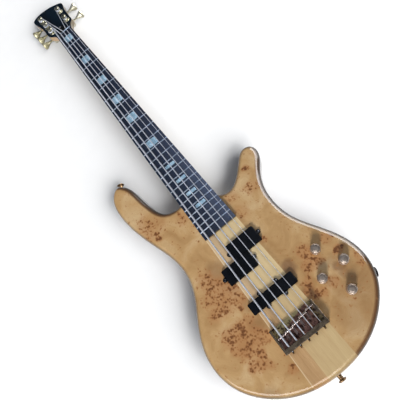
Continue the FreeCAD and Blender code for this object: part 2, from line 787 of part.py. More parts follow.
def tuner_bushing(number):
    """The threaded bushing with its six-sided washer, which lines a post's hole in the head."""
    x, y = TUNER_PLACES[number]
    face = VENEER_THICK
    inner = POST_RADIUS + RUNNING_FIT
    seat = face + WASHER_THICK
    profile = ((inner, face), (BUSHING_RADIUS, face), (BUSHING_RADIUS - WASHER_EDGE, seat), (inner, seat))
    washer = turned(profile, V(x, y, 0), UP)
    nut = hexagon(BUSHING_RADIUS - BUSHING_NUT_INSET, seat, face + BUSHING_HEIGHT, V(x, y, 0), UP)
    sleeve = Part.makeCylinder(BUSHING_SLEEVE, HEAD_THICK + face, V(x, y, -HEAD_THICK), UP)
    bore = Part.makeCylinder(inner, FAR, V(x, y, -FAR / 2), UP)
    return on_head(sleeve.fuse([washer, nut]).cut(bore))


def tuner_bores():
    """The holes through the head for the bushings."""
    return [
        on_head(Part.makeCylinder(BUSHING_SLEEVE, FAR, V(x, y, -FAR / 2), UP)) for x, y in TUNER_PLACES
    ]


# Bridge

def saddle_width():
    """Width of a saddle, which leaves a gap to its neighbours."""
    return STRING_SPACING - SADDLE_GAP


def bridge_half_width():
    """Half the bridge's width: the outermost saddle, its side clearance and the wall."""
    return string_x(len(STRING_NAMES) - 1, True) + saddle_width() / 2 + BRIDGE_SIDE_FIT + BRIDGE_WALL


def bridge_frame():
    """The bridge: a base plate with two side walls and a rear block."""
    half = bridge_half_width()
    floor, top = BODY_THICK, BODY_THICK + BRIDGE_HEIGHT
    block = BRIDGE_REAR + BRIDGE_BLOCK
    outer = box(-half, half, BRIDGE_REAR, BRIDGE_FRONT, floor, top)
    upper = [e for e in outer.Edges if e.BoundBox.ZMin > top - 0.01]
    upright = [e for e in outer.Edges if e.BoundBox.ZLength > BRIDGE_HEIGHT - 0.01]
    outer = outer.makeFillet(BRIDGE_EDGE, upper + upright)
    bay = half - BRIDGE_WALL
    inner = box(-bay, bay, block, BRIDGE_FRONT + 1, floor + BRIDGE_BASE, top + 1)
    holes = []
    for number, diameter in enumerate(STRING_DIAMETERS):
        x = string_x(number, True)
        toward = saddle_point(number) - ball_point(number)
        holes.append(Part.makeCylinder(diameter / 2 + STRING_FIT, FAR / 10,
                                       ball_point(number) - V(0, 1, 0), toward))
        level = floor + LENGTH_SCREW_LEVEL
        holes.append(rod(LENGTH_SCREW_RADIUS, V(x, BRIDGE_REAR - 1, level), V(x, block + 1, level)))
    return outer.cut([inner] + holes + bridge_screws())


def bridge_screws():
    """The screws that hold the bridge down, flush with its base plate."""
    level = BODY_THICK + BRIDGE_BASE
    front, rear = BRIDGE_FRONT - BRIDGE_SCREW_INSET, BRIDGE_REAR + BRIDGE_BLOCK + BRIDGE_SCREW_INSET
    middle = (len(STRING_NAMES) - 1) / 2
    across = [(n - middle) * BRIDGE_SCREW_SPACING for n in range(len(STRING_NAMES))]
    places = [(x, front) for x in across] + [(across[0], rear), (across[-1], rear)]
    return [flat_screw(V(x, y, level), UP, BRIDGE_SCREW_LENGTH) for x, y in places]


def saddle_parts(number):
    """A saddle with its two height screws, as separate solids."""
    x, ridge = string_x(number, True), SADDLE_RIDGES[number]
    half = saddle_width() / 2
    floor = BODY_THICK + BRIDGE_BASE
    low = floor + SADDLE_LIFT
    point = saddle_point(number)
    crest = point.z - STRING_DIAMETERS[number] / 2 + SADDLE_GROOVE_FIT * 2
    front, back = ridge + SADDLE_BAR / 2, ridge + SADDLE_BAR / 2 - SADDLE_LENGTH
    bar = box(x - half, x + half, ridge - SADDLE_BAR / 2, front, low, crest - SADDLE_BAR / 2)
    nose = Part.makeCylinder(SADDLE_BAR / 2, 2 * half, V(x - half, ridge, crest - SADDLE_BAR / 2), V(1, 0, 0))
    rail_top = crest - SADDLE_RAIL_DROP
    rails = [
        box(x - half, x - half + SADDLE_RAIL, back, ridge, low, rail_top),
        box(x + half - SADDLE_RAIL, x + half, back, ridge, low, rail_top),
    ]
    body = bar.fuse([nose] + rails)
    level = BODY_THICK + LENGTH_SCREW_LEVEL
    groove = Part.makeCylinder(STRING_DIAMETERS[number] / 2 + SADDLE_GROOVE_FIT, SADDLE_BAR * 3,
                               V(x, ridge - SADDLE_BAR * 1.5, point.z), V(0, 1, 0))
    clear = box(x - STRING_DIAMETERS[number] / 2 - SADDLE_GROOVE_FIT,
                x + STRING_DIAMETERS[number] / 2 + SADDLE_GROOVE_FIT,
                ridge - SADDLE_BAR, ridge + SADDLE_BAR, point.z, point.z + SADDLE_BAR)
    thread = rod(LENGTH_SCREW_RADIUS + LENGTH_SCREW_FIT, V(x, back - 1, level), V(x, front + 1, level))
    screws = [
        rod(HEIGHT_SCREW_RADIUS, V(x + s * HEIGHT_SCREW_SIDE, ridge, floor + SADDLE_LIFT / 4),
            V(x + s * HEIGHT_SCREW_SIDE, ridge, crest + SADDLE_LIFT)) for s in (-1, 1)
    ]
    return [body.cut([groove, clear, thread] + screws)] + screws


def length_screw(number):
    """The long screw behind a saddle that sets the string's sounding length."""
    x = string_x(number, True)
    level = BODY_THICK + LENGTH_SCREW_LEVEL
    tip = SADDLE_RIDGES[number] + SADDLE_BAR / 2
    shank = rod(LENGTH_SCREW_RADIUS, V(x, BRIDGE_REAR, level), V(x, tip, level))
    back = BRIDGE_REAR - LENGTH_SCREW_HEAD_THICK
    head = rod(LENGTH_SCREW_HEAD, V(x, BRIDGE_REAR, level), V(x, back, level))
    half, reach = LENGTH_SCREW_DRIVE / 2, LENGTH_SCREW_HEAD + 1
    drive = box(x - half, x + half, back - 1, back + LENGTH_SCREW_DRIVE_DEPTH, level - reach, level + reach)
    return shank.fuse(head).cut(drive)


# Pickups

SPLIT_EARS = ((SPLIT_LENGTH / 2, 0), (-SPLIT_LENGTH / 2, 0))
BAR_EARS = (
    (BAR_EAR_SIDE, BAR_WIDTH / 2), (-BAR_EAR_SIDE, BAR_WIDTH / 2),
    (BAR_EAR_SIDE, -BAR_WIDTH / 2), (-BAR_EAR_SIDE, -BAR_WIDTH / 2),
)
PICKUPS = {
    "p_pickup_cover_bass": (SPLIT_LENGTH, SPLIT_WIDTH, SPLIT_BASS_CENTRE, SPLIT_EARS),
    "p_pickup_cover_treble": (SPLIT_LENGTH, SPLIT_WIDTH, SPLIT_TREBLE_CENTRE, SPLIT_EARS),
    "j_pickup_cover": (BAR_LENGTH, BAR_WIDTH, BAR_CENTRE, BAR_EARS),
}


def ear_centres(name):
    """Where each of a pickup's screw ears leaves the cover, and the middle of its round end."""
    _, _, (cx, cy), ears = PICKUPS[name]
    places = []
    for ex, ey in ears:
        outward = V(ex, 0, 0) if abs(ey) < 0.01 else V(0, ey, 0)
        outward.normalize()
        reach = SPLIT_EAR_REACH if abs(ey) < 0.01 else BAR_EAR_REACH
        foot = V(cx + ex, cy + ey, BODY_THICK)
        places.append((foot, foot + outward * reach))
    return places


def pickup_screws(name):
    """The screws through a pickup's ears."""
    return [pan_screw(end + UP * EAR_THICK, UP, SCREW_LENGTH + EAR_THICK) for _, end in ear_centres(name)]


def pickup_ear(foot, end):
    """One screw ear: a round end joined to the cover by a straight tab."""
    round_end = Part.makeCylinder(EAR_RADIUS, EAR_THICK, end, UP)
    across = V(foot.y - end.y, end.x - foot.x, 0)
    across.normalize()
    side = across * EAR_RADIUS
    corners = [foot - side, foot + side, end + side, end - side]
    tab = prism([(c.x, c.y) for c in corners], BODY_THICK, BODY_THICK + EAR_THICK)
    return round_end.fuse(tab)


def pickup_cover(name):
    """The moulded cover of a pickup: a shell open underneath, with screw ears."""
    length, width, centre, _ = PICKUPS[name]
    low, high = BODY_THICK + PICKUP_ABOVE_TOP - PICKUP_DEPTH, BODY_THICK + PICKUP_ABOVE_TOP
    outer = rounded_block(length, width, PICKUP_CORNER, centre, low, high)
    rim = [e for e in outer.Edges if e.BoundBox.ZMin > high - 0.01]
    outer = outer.makeFillet(PICKUP_EDGE, rim)
    inner = rounded_block(length - 2 * PICKUP_WALL, width - 2 * PICKUP_WALL, PICKUP_CORNER - PICKUP_WALL,
                          centre, low - 1, high - PICKUP_WALL)
    ears = [pickup_ear(foot, end) for foot, end in ear_centres(name)]
    return outer.fuse(ears).cut([inner] + pickup_screws(name))


def pickup_coil(name):
    """The wound bobbin that fills a pickup cover."""
    length, width, centre, _ = PICKUPS[name]
    trim = 2 * (PICKUP_WALL + COIL_FIT)
    low = BODY_THICK + PICKUP_ABOVE_TOP - PICKUP_DEPTH
    high = BODY_THICK + PICKUP_ABOVE_TOP - PICKUP_WALL - COIL_FIT
    return rounded_block(length - trim, width - trim, COIL_CORNER, centre, low, high)


def pickup_route(name):
    """The pocket in the body for a pickup."""
    length, width, centre, _ = PICKUPS[name]
    margin = 2 * PICKUP_ROUTE_FIT
    return rounded_block(length + margin, width + margin, PICKUP_CORNER, centre,
                         BODY_THICK - PICKUP_ROUTE_DEPTH, BODY_THICK + 1)


# Controls

def cavity_outline(margin, z0, z1):
    """A rounded four-sided prism that keeps a margin round the four control centres."""
    order = ("neck_volume_knob", "treble_knob", "bass_knob", "bridge_volume_knob")
    corners = [V(*KNOB_PLACES[name], z0) for name in order]
    rim = Part.Wire(Part.makePolygon(corners + corners[:1])).makeOffset2D(margin)
    return Part.Face(rim).extrude(V(0, 0, z1 - z0))


def cover_screws():
    """The screws that hold the control cover into the back."""
    centre = control_centre()
    places = []
    for x, y in KNOB_PLACES.values():
        outward = V(x - centre.x, y - centre.y, 0)
        outward.normalize()
        places.append(V(x, y, COVER_FIT) + outward * (CAVITY_MARGIN + COVER_LEDGE / 2))
    return [flat_screw(p, V(0, 0, -1)) for p in places]


def control_centre():
    """The middle of the four controls, in plan."""
    xs = [x for x, _ in KNOB_PLACES.values()]
    ys = [y for _, y in KNOB_PLACES.values()]
    return V(sum(xs) / len(xs), sum(ys) / len(ys), 0)


def pot(x, y):
    """A potentiometer's case with its threaded bushing; the shaft is a separate piece."""
    case = Part.makeCylinder(POT_RADIUS, POT_THICK, V(x, y, CAVITY_TOP - POT_THICK), UP)
    bushing = Part.makeCylinder(
        POT_BUSHING_RADIUS, CAVITY_CEILING + POT_NUT_THICK + POT_BUSHING_PROUD, V(x, y, CAVITY_TOP), UP)
    bore = Part.makeCylinder(POT_SHAFT_RADIUS + RUNNING_FIT, FAR, V(x, y, CAVITY_TOP - POT_THICK / 2), UP)
    return case.fuse(bushing).cut(bore)


def pot_nut(x, y):
    """The six-sided nut that clamps a potentiometer to the top."""
    nut = hexagon(POT_NUT_RADIUS, 0, POT_NUT_THICK, V(x, y, BODY_THICK), UP)
    return nut.cut(Part.makeCylinder(POT_BUSHING_RADIUS, FAR, V(x, y, 0), UP))


def knob_parts(x, y):
    """A control knob with its potentiometer shaft and set screw, as separate solids."""
    low = BODY_THICK + KNOB_LIFT
    high = low + KNOB_HEIGHT
    r, t = KNOB_RADIUS, KNOB_RADIUS - KNOB_TAPER
    rim = [
        Part.makePolygon([V(0, 0, high), V(0, 0, low + KNOB_SKIRT_DEPTH),
                          V(KNOB_SKIRT_BORE, 0, low + KNOB_SKIRT_DEPTH), V(KNOB_SKIRT_BORE, 0, low),
                          V(r, 0, low), V(t, 0, high - KNOB_DOME)]),
        Part.Arc(V(t, 0, high - KNOB_DOME), V(t - KNOB_DOME * 0.35, 0, high - KNOB_DOME * 0.35),
                 V(t - KNOB_DOME, 0, high)).toShape(),
        Part.LineSegment(V(t - KNOB_DOME, 0, high), V(0, 0, high)).toShape(),
    ]
    edges = rim[0].Edges + rim[1].Edges + rim[2].Edges
    knob = Part.Face(Part.Wire(edges)).revolve(V(0, 0, 0), UP, 360)
    knob.translate(V(x, y, 0))
    shaft_low = CAVITY_TOP - POT_THICK / 2 + SHAFT_END_GAP
    shaft_high = high - KNOB_CROWN
    shaft = rod(POT_SHAFT_RADIUS, V(x, y, shaft_low), V(x, y, shaft_high))
    screw_level = (low + KNOB_SKIRT_DEPTH + high) / 2
    tip = V(x, y - POT_SHAFT_RADIUS, screw_level)
    screw = rod(SET_SCREW_RADIUS, tip, V(x, y - t + SET_SCREW_SUNK, screw_level))
    way = rod(SET_SCREW_RADIUS, tip, V(x, y - r - 1, screw_level))
    screw = screw.cut(shaft)
    return [knob.cut([shaft, way]), shaft, screw]


def battery():
    """The nine-volt battery that lies on the control cover."""
    c = control_centre()
    w, l, h = BATTERY_SIZE
    low = COVER_THICK + COVER_FIT
    return box(c.x - w / 2, c.x + w / 2, c.y - l / 2, c.y + l / 2, low, low + h)


def preamp_board():
    """The circuit board that hangs from the backs of the potentiometers."""
    c = control_centre()
    w, l, h = PREAMP_SIZE
    high = CAVITY_TOP - POT_THICK - COVER_FIT
    return box(c.x - w / 2, c.x + w / 2, c.y - l / 2, c.y + l / 2, high - h, high)


def wire_runs():
    """End points of the drilled wire channels: split pickup to bar pickup to control cavity."""
    split = V(SPLIT_BASS_CENTRE[0] / 2, SPLIT_BASS_CENTRE[1], WIRE_LEVEL)
    bar = V(*BAR_CENTRE, WIRE_LEVEL)
    outlet = V(BAR_LENGTH / 2 - WIRE_OUTLET_INSET, BAR_CENTRE[1], WIRE_LEVEL)
    cavity = V(*KNOB_PLACES["bridge_volume_knob"], WIRE_LEVEL)
    return ((split, bar), (outlet, cavity))


def wire_channels():
    """Drilled ways between the pickup pockets and the control cavity."""
    return [rod(WIRE_CHANNEL_RADIUS, a, b) for a, b in wire_runs()]


def wiring():
    """The pickup leads, a pair in each drilled channel."""
    drop = UP * (WIRE_CHANNEL_RADIUS - 2 * WIRE_RADIUS)
    leads = []
    for a, b in wire_runs():
        along = b - a
        along.normalize()
        across = V(-along.y, along.x, 0) * (WIRE_SPACING / 2)
        start, end = a - drop, b - drop - along * (POT_RADIUS + 2 * WIRE_RADIUS)
        leads += [rod(WIRE_RADIUS, start + s, end + s) for s in (across, across * -1)]
    return leads


# Output jack and strap buttons

def jack_place():
    """Where the jack's cup meets the body's edge, and the way out."""
    return edge_place(JACK_NEAR, JACK_LEVEL)


def jack_rod(radius, inside, outside):
    """A round bar along the jack's axis."""
    place, out = jack_place()
    return rod(radius, place + out * inside, place + out * outside)


def jack_floor():
    """How far the floor of the jack's cup stands out from the body's edge."""
    return JACK_CUP_THICK - JACK_CUP_SUNK - JACK_CUP_DISH


def jack_cup():
    """The round dished cup, let into the body's edge, that carries the jack."""
    place, out = jack_place()
    rim = JACK_CUP_THICK - JACK_CUP_SUNK
    profile = (
        (0, -JACK_CUP_SUNK), (JACK_CUP_RADIUS, -JACK_CUP_SUNK), (JACK_CUP_RADIUS, rim - JACK_CUP_EDGE),
        (JACK_CUP_RADIUS - JACK_CUP_EDGE, rim), (0, rim),
    )
    dish = jack_rod(JACK_NUT_RADIUS + JACK_DISH_FIT, jack_floor(), FAR / 10)
    hole = jack_rod(JACK_BARREL_RADIUS, -FAR / 10, FAR / 10)
    return turned(profile, place, out).cut([dish, hole])


def output_jack():
    """The jack socket: a threaded barrel with a blind bore and its outer nut."""
    outer = jack_floor()
    tip = outer + JACK_NUT_THICK + JACK_PROUD
    barrel = jack_rod(JACK_BARREL_RADIUS, tip - JACK_LENGTH, tip)
    place, out = jack_place()
    nut = hexagon(JACK_NUT_RADIUS, outer, outer + JACK_NUT_THICK, place, out)
    bore = jack_rod(JACK_BORE_RADIUS, tip - JACK_LENGTH + JACK_END, tip + 1)
    return barrel.fuse(nut).cut(bore)


def strap_button(near):
    """A strap button on the body's edge, its foot let a little into the wood."""
    place, out = edge_place(near, STRAP_LEVEL)
    head = STRAP_HEIGHT - STRAP_HEAD_THICK
    profile = (
        (0, 0), (STRAP_BASE_RADIUS, 0), (STRAP_BASE_RADIUS, STRAP_FOOT),
        (STRAP_WAIST_RADIUS + STRAP_SWELL, STRAP_FOOT + STRAP_SWELL),
        (STRAP_WAIST_RADIUS, STRAP_FOOT + STRAP_NECK), (STRAP_WAIST_RADIUS, head - STRAP_SWELL * 2),
        (STRAP_WAIST_RADIUS + STRAP_SWELL, head - STRAP_SWELL), (STRAP_HEAD_RADIUS, head),
        (STRAP_HEAD_RADIUS, STRAP_HEIGHT - STRAP_HEAD_EDGE),
        (STRAP_HEAD_RADIUS - STRAP_HEAD_EDGE, STRAP_HEIGHT), (0, STRAP_HEIGHT),
    )
    button = turned(profile, place - out * STRAP_SUNK, out)
    return button.cut(strap_screw(near))


def strap_screw(near):
    """The long screw through a strap button."""
    place, out = edge_place(near, STRAP_LEVEL)
    return flat_screw(place + out * (STRAP_HEIGHT - STRAP_SUNK), out, STRAP_SCREW_LENGTH)


def strap_seat(near):
    """The shallow seat in the wood under a strap button."""
    place, out = edge_place(near, STRAP_LEVEL)
    return Part.makeCylinder(STRAP_BASE_RADIUS, FAR / 50, place - out * STRAP_SUNK, out)


# Truss rod and its cover

def truss_slot():
    """The slot in the middle lamination for the truss rod."""
    half = TRUSS_SLOT_WIDTH / 2
    return box(-half, half, TRUSS_START, SCALE + TRUSS_PAST_NUT, BODY_THICK - TRUSS_SLOT_DEPTH, BOARD_TOP)


def truss_rod():
    """A double-acting rod: two bars joined by a block at each end, with the nut towards the head."""
    low = BODY_THICK - TRUSS_SLOT_DEPTH + TRUSS_ROD_FIT + TRUSS_ROD_RADIUS
    high = BODY_THICK - TRUSS_ROD_FIT - TRUSS_ROD_RADIUS
    start, end = TRUSS_START + TRUSS_ROD_FIT, SCALE - TRUSS_ROD_SHORT
    half = TRUSS_SLOT_WIDTH / 2 - TRUSS_ROD_FIT
    blocks = [box(-half, half, y, y + TRUSS_END_BLOCK, low - TRUSS_ROD_RADIUS, high + TRUSS_ROD_RADIUS)
              for y in (start, end - TRUSS_END_BLOCK)]
    bars = [rod(TRUSS_ROD_RADIUS, V(0, start, z), V(0, end, z)) for z in (low, high)]
    nut = rod(TRUSS_ROD_RADIUS, V(0, end, low), V(0, SCALE + TRUSS_PAST_NUT - TRUSS_NUT_SHORT, low))
    return blocks[0].fuse([blocks[1], bars[0], bars[1], nut])


def truss_cover():
    """The small arched plate over the truss rod's nut, on the face of the head."""
    half = TRUSS_COVER_WIDTH / 2
    z0 = VENEER_THICK
    straight = TRUSS_COVER_LENGTH - half
    low = TRUSS_COVER_FOOT
    rim = [
        Part.makePolygon([V(-half, straight, z0), V(-half, low, z0),
                          V(half, low, z0), V(half, straight, z0)]),
        Part.Arc(V(half, straight, z0), V(0, TRUSS_COVER_LENGTH, z0), V(-half, straight, z0)).toShape(),
    ]
    plate = Part.Face(Part.Wire(rim[0].Edges + rim[1].Edges)).extrude(V(0, 0, TRUSS_COVER_THICK))
    return on_head(plate).cut(truss_cover_screws())


def truss_cover_screws():
    """The two screws of the truss rod cover."""
    z = VENEER_THICK + TRUSS_COVER_THICK
    places = ((TRUSS_COVER_WIDTH / 2 - TRUSS_COVER_SCREW_INSET, TRUSS_COVER_SCREW_INSET + TRUSS_COVER_FOOT),
              (0, TRUSS_COVER_LENGTH - TRUSS_COVER_SCREW_INSET))
    return [on_head(flat_screw(V(x, y, z), UP, TRUSS_COVER_SCREW_LENGTH)) for x, y in places]


def nut_ways(number):
    """The two ways that a string leaves its nut slot: to the saddle and to the post."""
    p = nut_point(number)
    ways = [saddle_point(number) - p, placed_turns(number)[0][0] - p]
    for way in ways:
        way.normalize()
    return ways


def nut_block():
    """The nut, with a slot for each string."""
    half = NUT_WIDTH / 2
    top = BOARD_TOP + NUT_ABOVE_BOARD
    block = box(-half, half, SCALE, HEAD_START, BODY_THICK, top)
    front = [e for e in block.Edges if e.BoundBox.ZMin > top - 0.01 and e.BoundBox.YMin > HEAD_START - 0.01]
    block = block.makeFillet(NUT_EDGE, front)
    slots = []
    for number, diameter in enumerate(STRING_DIAMETERS):
        p = nut_point(number)
        r = diameter / 2 + NUT_SLOT_FIT
        slots.append(box(p.x - r, p.x + r, SCALE - 1, HEAD_START + 1, p.z, top + 1))
        slots.append(rod(r, p - V(0, NUT_THICK, 0), p + V(0, NUT_THICK, 0)))
        slots += [rod(r, p, p + along * NUT_THICK) for along in nut_ways(number)]
    return block.cut(slots)


# The assembly

def build():
    """Makes every node and returns them by name."""
    nodes = {}
    blank = body_blank()
    middle = taper(-FAR / 5, HEEL_END + FAR / 10, -1, BODY_THICK + 1)
    routes = [pickup_route(name) for name in PICKUPS]
    cavity = cavity_outline(CAVITY_MARGIN, -1, CAVITY_TOP)
    ledge = cavity_outline(CAVITY_MARGIN + COVER_LEDGE, -1, COVER_THICK + COVER_FIT)
    pot_holes = [Part.makeCylinder(POT_BUSHING_RADIUS, FAR, V(x, y, 0), UP) for x, y in KNOB_PLACES.values()]
    jack_seat = jack_rod(JACK_CUP_RADIUS, -JACK_CUP_SUNK, FAR / 50)
    jack_way = jack_rod(JACK_BARREL_RADIUS + JACK_HOLE_FIT, -JACK_LENGTH, 1)
    ear_screws = [s for name in PICKUPS for s in pickup_screws(name)]
    horn_screw, tail_screw = strap_screw(STRAP_HORN_NEAR), strap_screw(STRAP_TAIL_NEAR)
    seats = [strap_seat(STRAP_HORN_NEAR), strap_seat(STRAP_TAIL_NEAR)]
    wood_tools = routes + [cavity, ledge, jack_seat, jack_way, horn_screw, tail_screw]
    wood_tools += pot_holes + wire_channels() + ear_screws + seats + bridge_screws()
    wood_tools += cover_screws()

    wings = sorted(blank.cut(middle).Solids, key=lambda s: s.CenterOfMass.x)
    wings = [wings[0], wings[-1]]
    below = box(-FAR, FAR, -FAR, FAR, -1, CAP_LEVEL)
    for side, wing in zip(("bass", "treble"), wings):
        wing = cut_all(wing, wood_tools)
        nodes[f"body_wing_{side}"] = wing.common(below)
        nodes[f"top_{side}"] = wing.cut(below)

    tail = blank.common(taper(-FAR / 5, HEEL_END - HEEL_DEEP, -1, BODY_THICK + 1))
    deep = taper(HEEL_END - HEEL_DEEP, HEEL_END, 0, BODY_THICK)
    neck = tail.fuse([deep, neck_heel(), neck_shaft(), on_head(head_plate(-HEAD_THICK, 0))])
    screws_in_head = truss_cover_screws() + [on_head(tuner_screw(n)) for n in range(len(STRING_NAMES))]
    neck = cut_all(neck, wood_tools + tuner_bores() + screws_in_head + [truss_slot()])
    joints = {"centre": (-LAMINATION_HALF, LAMINATION_HALF), "bass": (-FAR, -LAMINATION_HALF),
              "treble": (LAMINATION_HALF, FAR)}
    for side, (left, right) in joints.items():
        nodes[f"neck_{side}_lamination"] = neck.common(box(left, right, -FAR, FAR, -FAR, FAR))
    veneer = on_head(head_plate(0, VENEER_THICK))
    nodes["headstock_face"] = cut_all(veneer, tuner_bores() + screws_in_head + [truss_slot(), nut_room()])

    frets = [fret(n) for n in range(1, FRET_COUNT + 1)]
    blocks = [inlay(n) for n in INLAY_FRETS]
    board = fretboard_blank()
    nodes["fret_inlays"] = group([b.common(board) for b in blocks])
    nodes["fretboard"] = board.cut(frets + blocks)
    nodes["frets"] = group(frets)
    nodes["nut"] = nut_block()
    nodes["truss_rod"] = truss_rod()
    nodes["truss_rod_cover"] = truss_cover()

    count = range(len(STRING_NAMES))
    nodes["tuner_housings"] = group([tuner_housing(n) for n in count])
    nodes["tuner_bushings"] = group([tuner_bushing(n) for n in count])
    for n in count:
        nodes[f"tuner_post_{STRING_NAMES[n]}"] = tuner_post(n)
        nodes[f"tuner_key_{STRING_NAMES[n]}"] = tuner_key(n)
        nodes[f"string_{STRING_NAMES[n]}"] = string(n)
        nodes[f"saddle_{STRING_NAMES[n]}"] = group(saddle_parts(n))
        report_turn_gap(n)

    nodes["bridge_frame"] = bridge_frame()
    nodes["bridge_screws"] = group(bridge_screws())
    nodes["intonation_screws"] = group([length_screw(n) for n in count])
    for name in PICKUPS:
        nodes[name] = pickup_cover(name)
    nodes["pickup_coils"] = group([pickup_coil(name) for name in PICKUPS])
    nodes["pickup_screws"] = group(ear_screws)

    for name, (x, y) in KNOB_PLACES.items():
        nodes[name] = group(knob_parts(x, y))
    nodes["pot_bodies"] = group([pot(x, y) for x, y in KNOB_PLACES.values()])
    nodes["pot_nuts"] = group([pot_nut(x, y) for x, y in KNOB_PLACES.values()])
    cover = cavity_outline(CAVITY_MARGIN + COVER_LEDGE - COVER_FIT, COVER_FIT, COVER_THICK + COVER_FIT)
    nodes["control_cover"] = cover.cut(cover_screws())
    nodes["battery"] = battery()
    nodes["preamp_board"] = preamp_board()
    nodes["wiring"] = group(wiring())
    nodes["output_jack"] = output_jack()
    nodes["jack_cup"] = jack_cup()
    nodes["strap_buttons"] = group([strap_button(STRAP_HORN_NEAR), strap_button(STRAP_TAIL_NEAR)])
    nodes["strap_button_screws"] = group([horn_screw, tail_screw])
    nodes["small_screws"] = group(cover_screws() + screws_in_head)
    return nodes


def nut_room():
    """The space that the nut takes at the foot of the head's veneer."""
    return box(-NUT_WIDTH, NUT_WIDTH, SCALE - 1, HEAD_START, BODY_THICK - 1, BOARD_TOP)


def main():
    os.makedirs("parts", exist_ok=True)
    for name, shape in build().items():
        if not shape.isValid():
            print(f"warning: {name} is not valid")
        shape.exportStep(f"parts/{name}.step")
        print(f"{name}: {len(shape.Solids)} solids, {shape.Volume / 1000:.2f} cm3")


if __name__ == "__main__":
    main()
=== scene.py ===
"""Dresses the five-string through-neck electric bass and lights it as in the photograph."""

import logging
import math
from collections.abc import Iterable, Mapping, Sequence
from dataclasses import dataclass
from enum import Enum
from functools import cached_property

import bpy
import numpy as np
from mathutils import Matrix, Vector


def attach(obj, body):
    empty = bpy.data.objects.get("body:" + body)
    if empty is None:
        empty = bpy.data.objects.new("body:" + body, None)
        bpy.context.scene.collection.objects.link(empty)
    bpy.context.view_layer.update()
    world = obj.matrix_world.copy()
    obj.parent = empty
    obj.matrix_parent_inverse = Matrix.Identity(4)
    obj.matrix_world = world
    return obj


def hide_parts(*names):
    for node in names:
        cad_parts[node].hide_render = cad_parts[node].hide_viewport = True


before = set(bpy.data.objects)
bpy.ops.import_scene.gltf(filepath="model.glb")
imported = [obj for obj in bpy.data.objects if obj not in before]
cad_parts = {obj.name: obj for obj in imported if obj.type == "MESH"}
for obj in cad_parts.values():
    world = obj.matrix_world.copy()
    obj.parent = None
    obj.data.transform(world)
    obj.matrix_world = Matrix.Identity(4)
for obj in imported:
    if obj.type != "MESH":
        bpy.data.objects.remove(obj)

Piece = bpy.types.Object
Material = bpy.types.Material
Socket = bpy.types.NodeSocket

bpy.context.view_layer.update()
LOG = logging.getLogger("bass")
ROOT_BODY = "instrument"
STRING_NAMES = "beadg"

# The glue line: half the neck's width at the origin, its growth per millimetre, the line's width and fade
NECK_HALF, NECK_TAPER, GLUE_WIDTH, GLUE_FADE = 42.67, 0.0239, 1.2, 1.0

# Levels between which the body's face begins, and the places along the neck where its wood turns paler
FACE_LOW, FACE_HIGH = 44.0, 44.6
PALER_FROM, PALER_FULL = -10.0, 90.0

# How far the burl's pattern is warped, in millimetres; on average half of it in each direction
BURL_WARP = 26.0

# Ways of the top face's rounded edges that take painted shade, and where across the body each one begins and
# is full
PAINTED_SHADE_SIDES = (((0.524, -0.823, 0.0), 40.0, 50.0), ((0.91, 0.41, 0.0), -40.0, -50.0))

# The slanting line of the saddles with its fade, and where the bridge's treble end begins and is full
SADDLE_SLANT, SLANT_FADE = (-0.28, 1.0, 0.0), 2.0
BRIDGE_END_FROM, BRIDGE_END_FULL = 31.0, 36.0

# Angles in degrees: edges sharper than the first are bevelled, and flatter than the others are shaded smooth
BEVEL_ANGLE, SMOOTH_BEVELLED, SMOOTH_TUBE, SMOOTH_KNOB = 40.0, 35.0, 50.0, 32.0

# Sockets of the colour form of the Mix node, which shares its names with the other forms
MIX_FACTOR, MIX_FIRST, MIX_SECOND, MIX_RESULT = 0, 6, 7, 2


def mm(length: float) -> float:
    """Turns millimetres into metres."""
    return length / 1000.0


def per_metre(cell: float) -> float:
    """Gives the texture scale at which one cell of a pattern is this many millimetres wide."""
    return 1000.0 / cell


def colour(code: str) -> tuple[float, float, float, float]:
    """Turns an sRGB hex code into the linear colour that a socket takes.

    Args:
        code: Six hex digits.

    Returns:
        Red, green, blue and an alpha of 1.
    """
    parts = [int(code[n:n + 2], 16) / 255 for n in (0, 2, 4)]
    linear = [c / 12.92 if c <= 0.04045 else ((c + 0.055) / 1.055) ** 2.4 for c in parts]
    return (linear[0], linear[1], linear[2], 1.0)


# Finishes

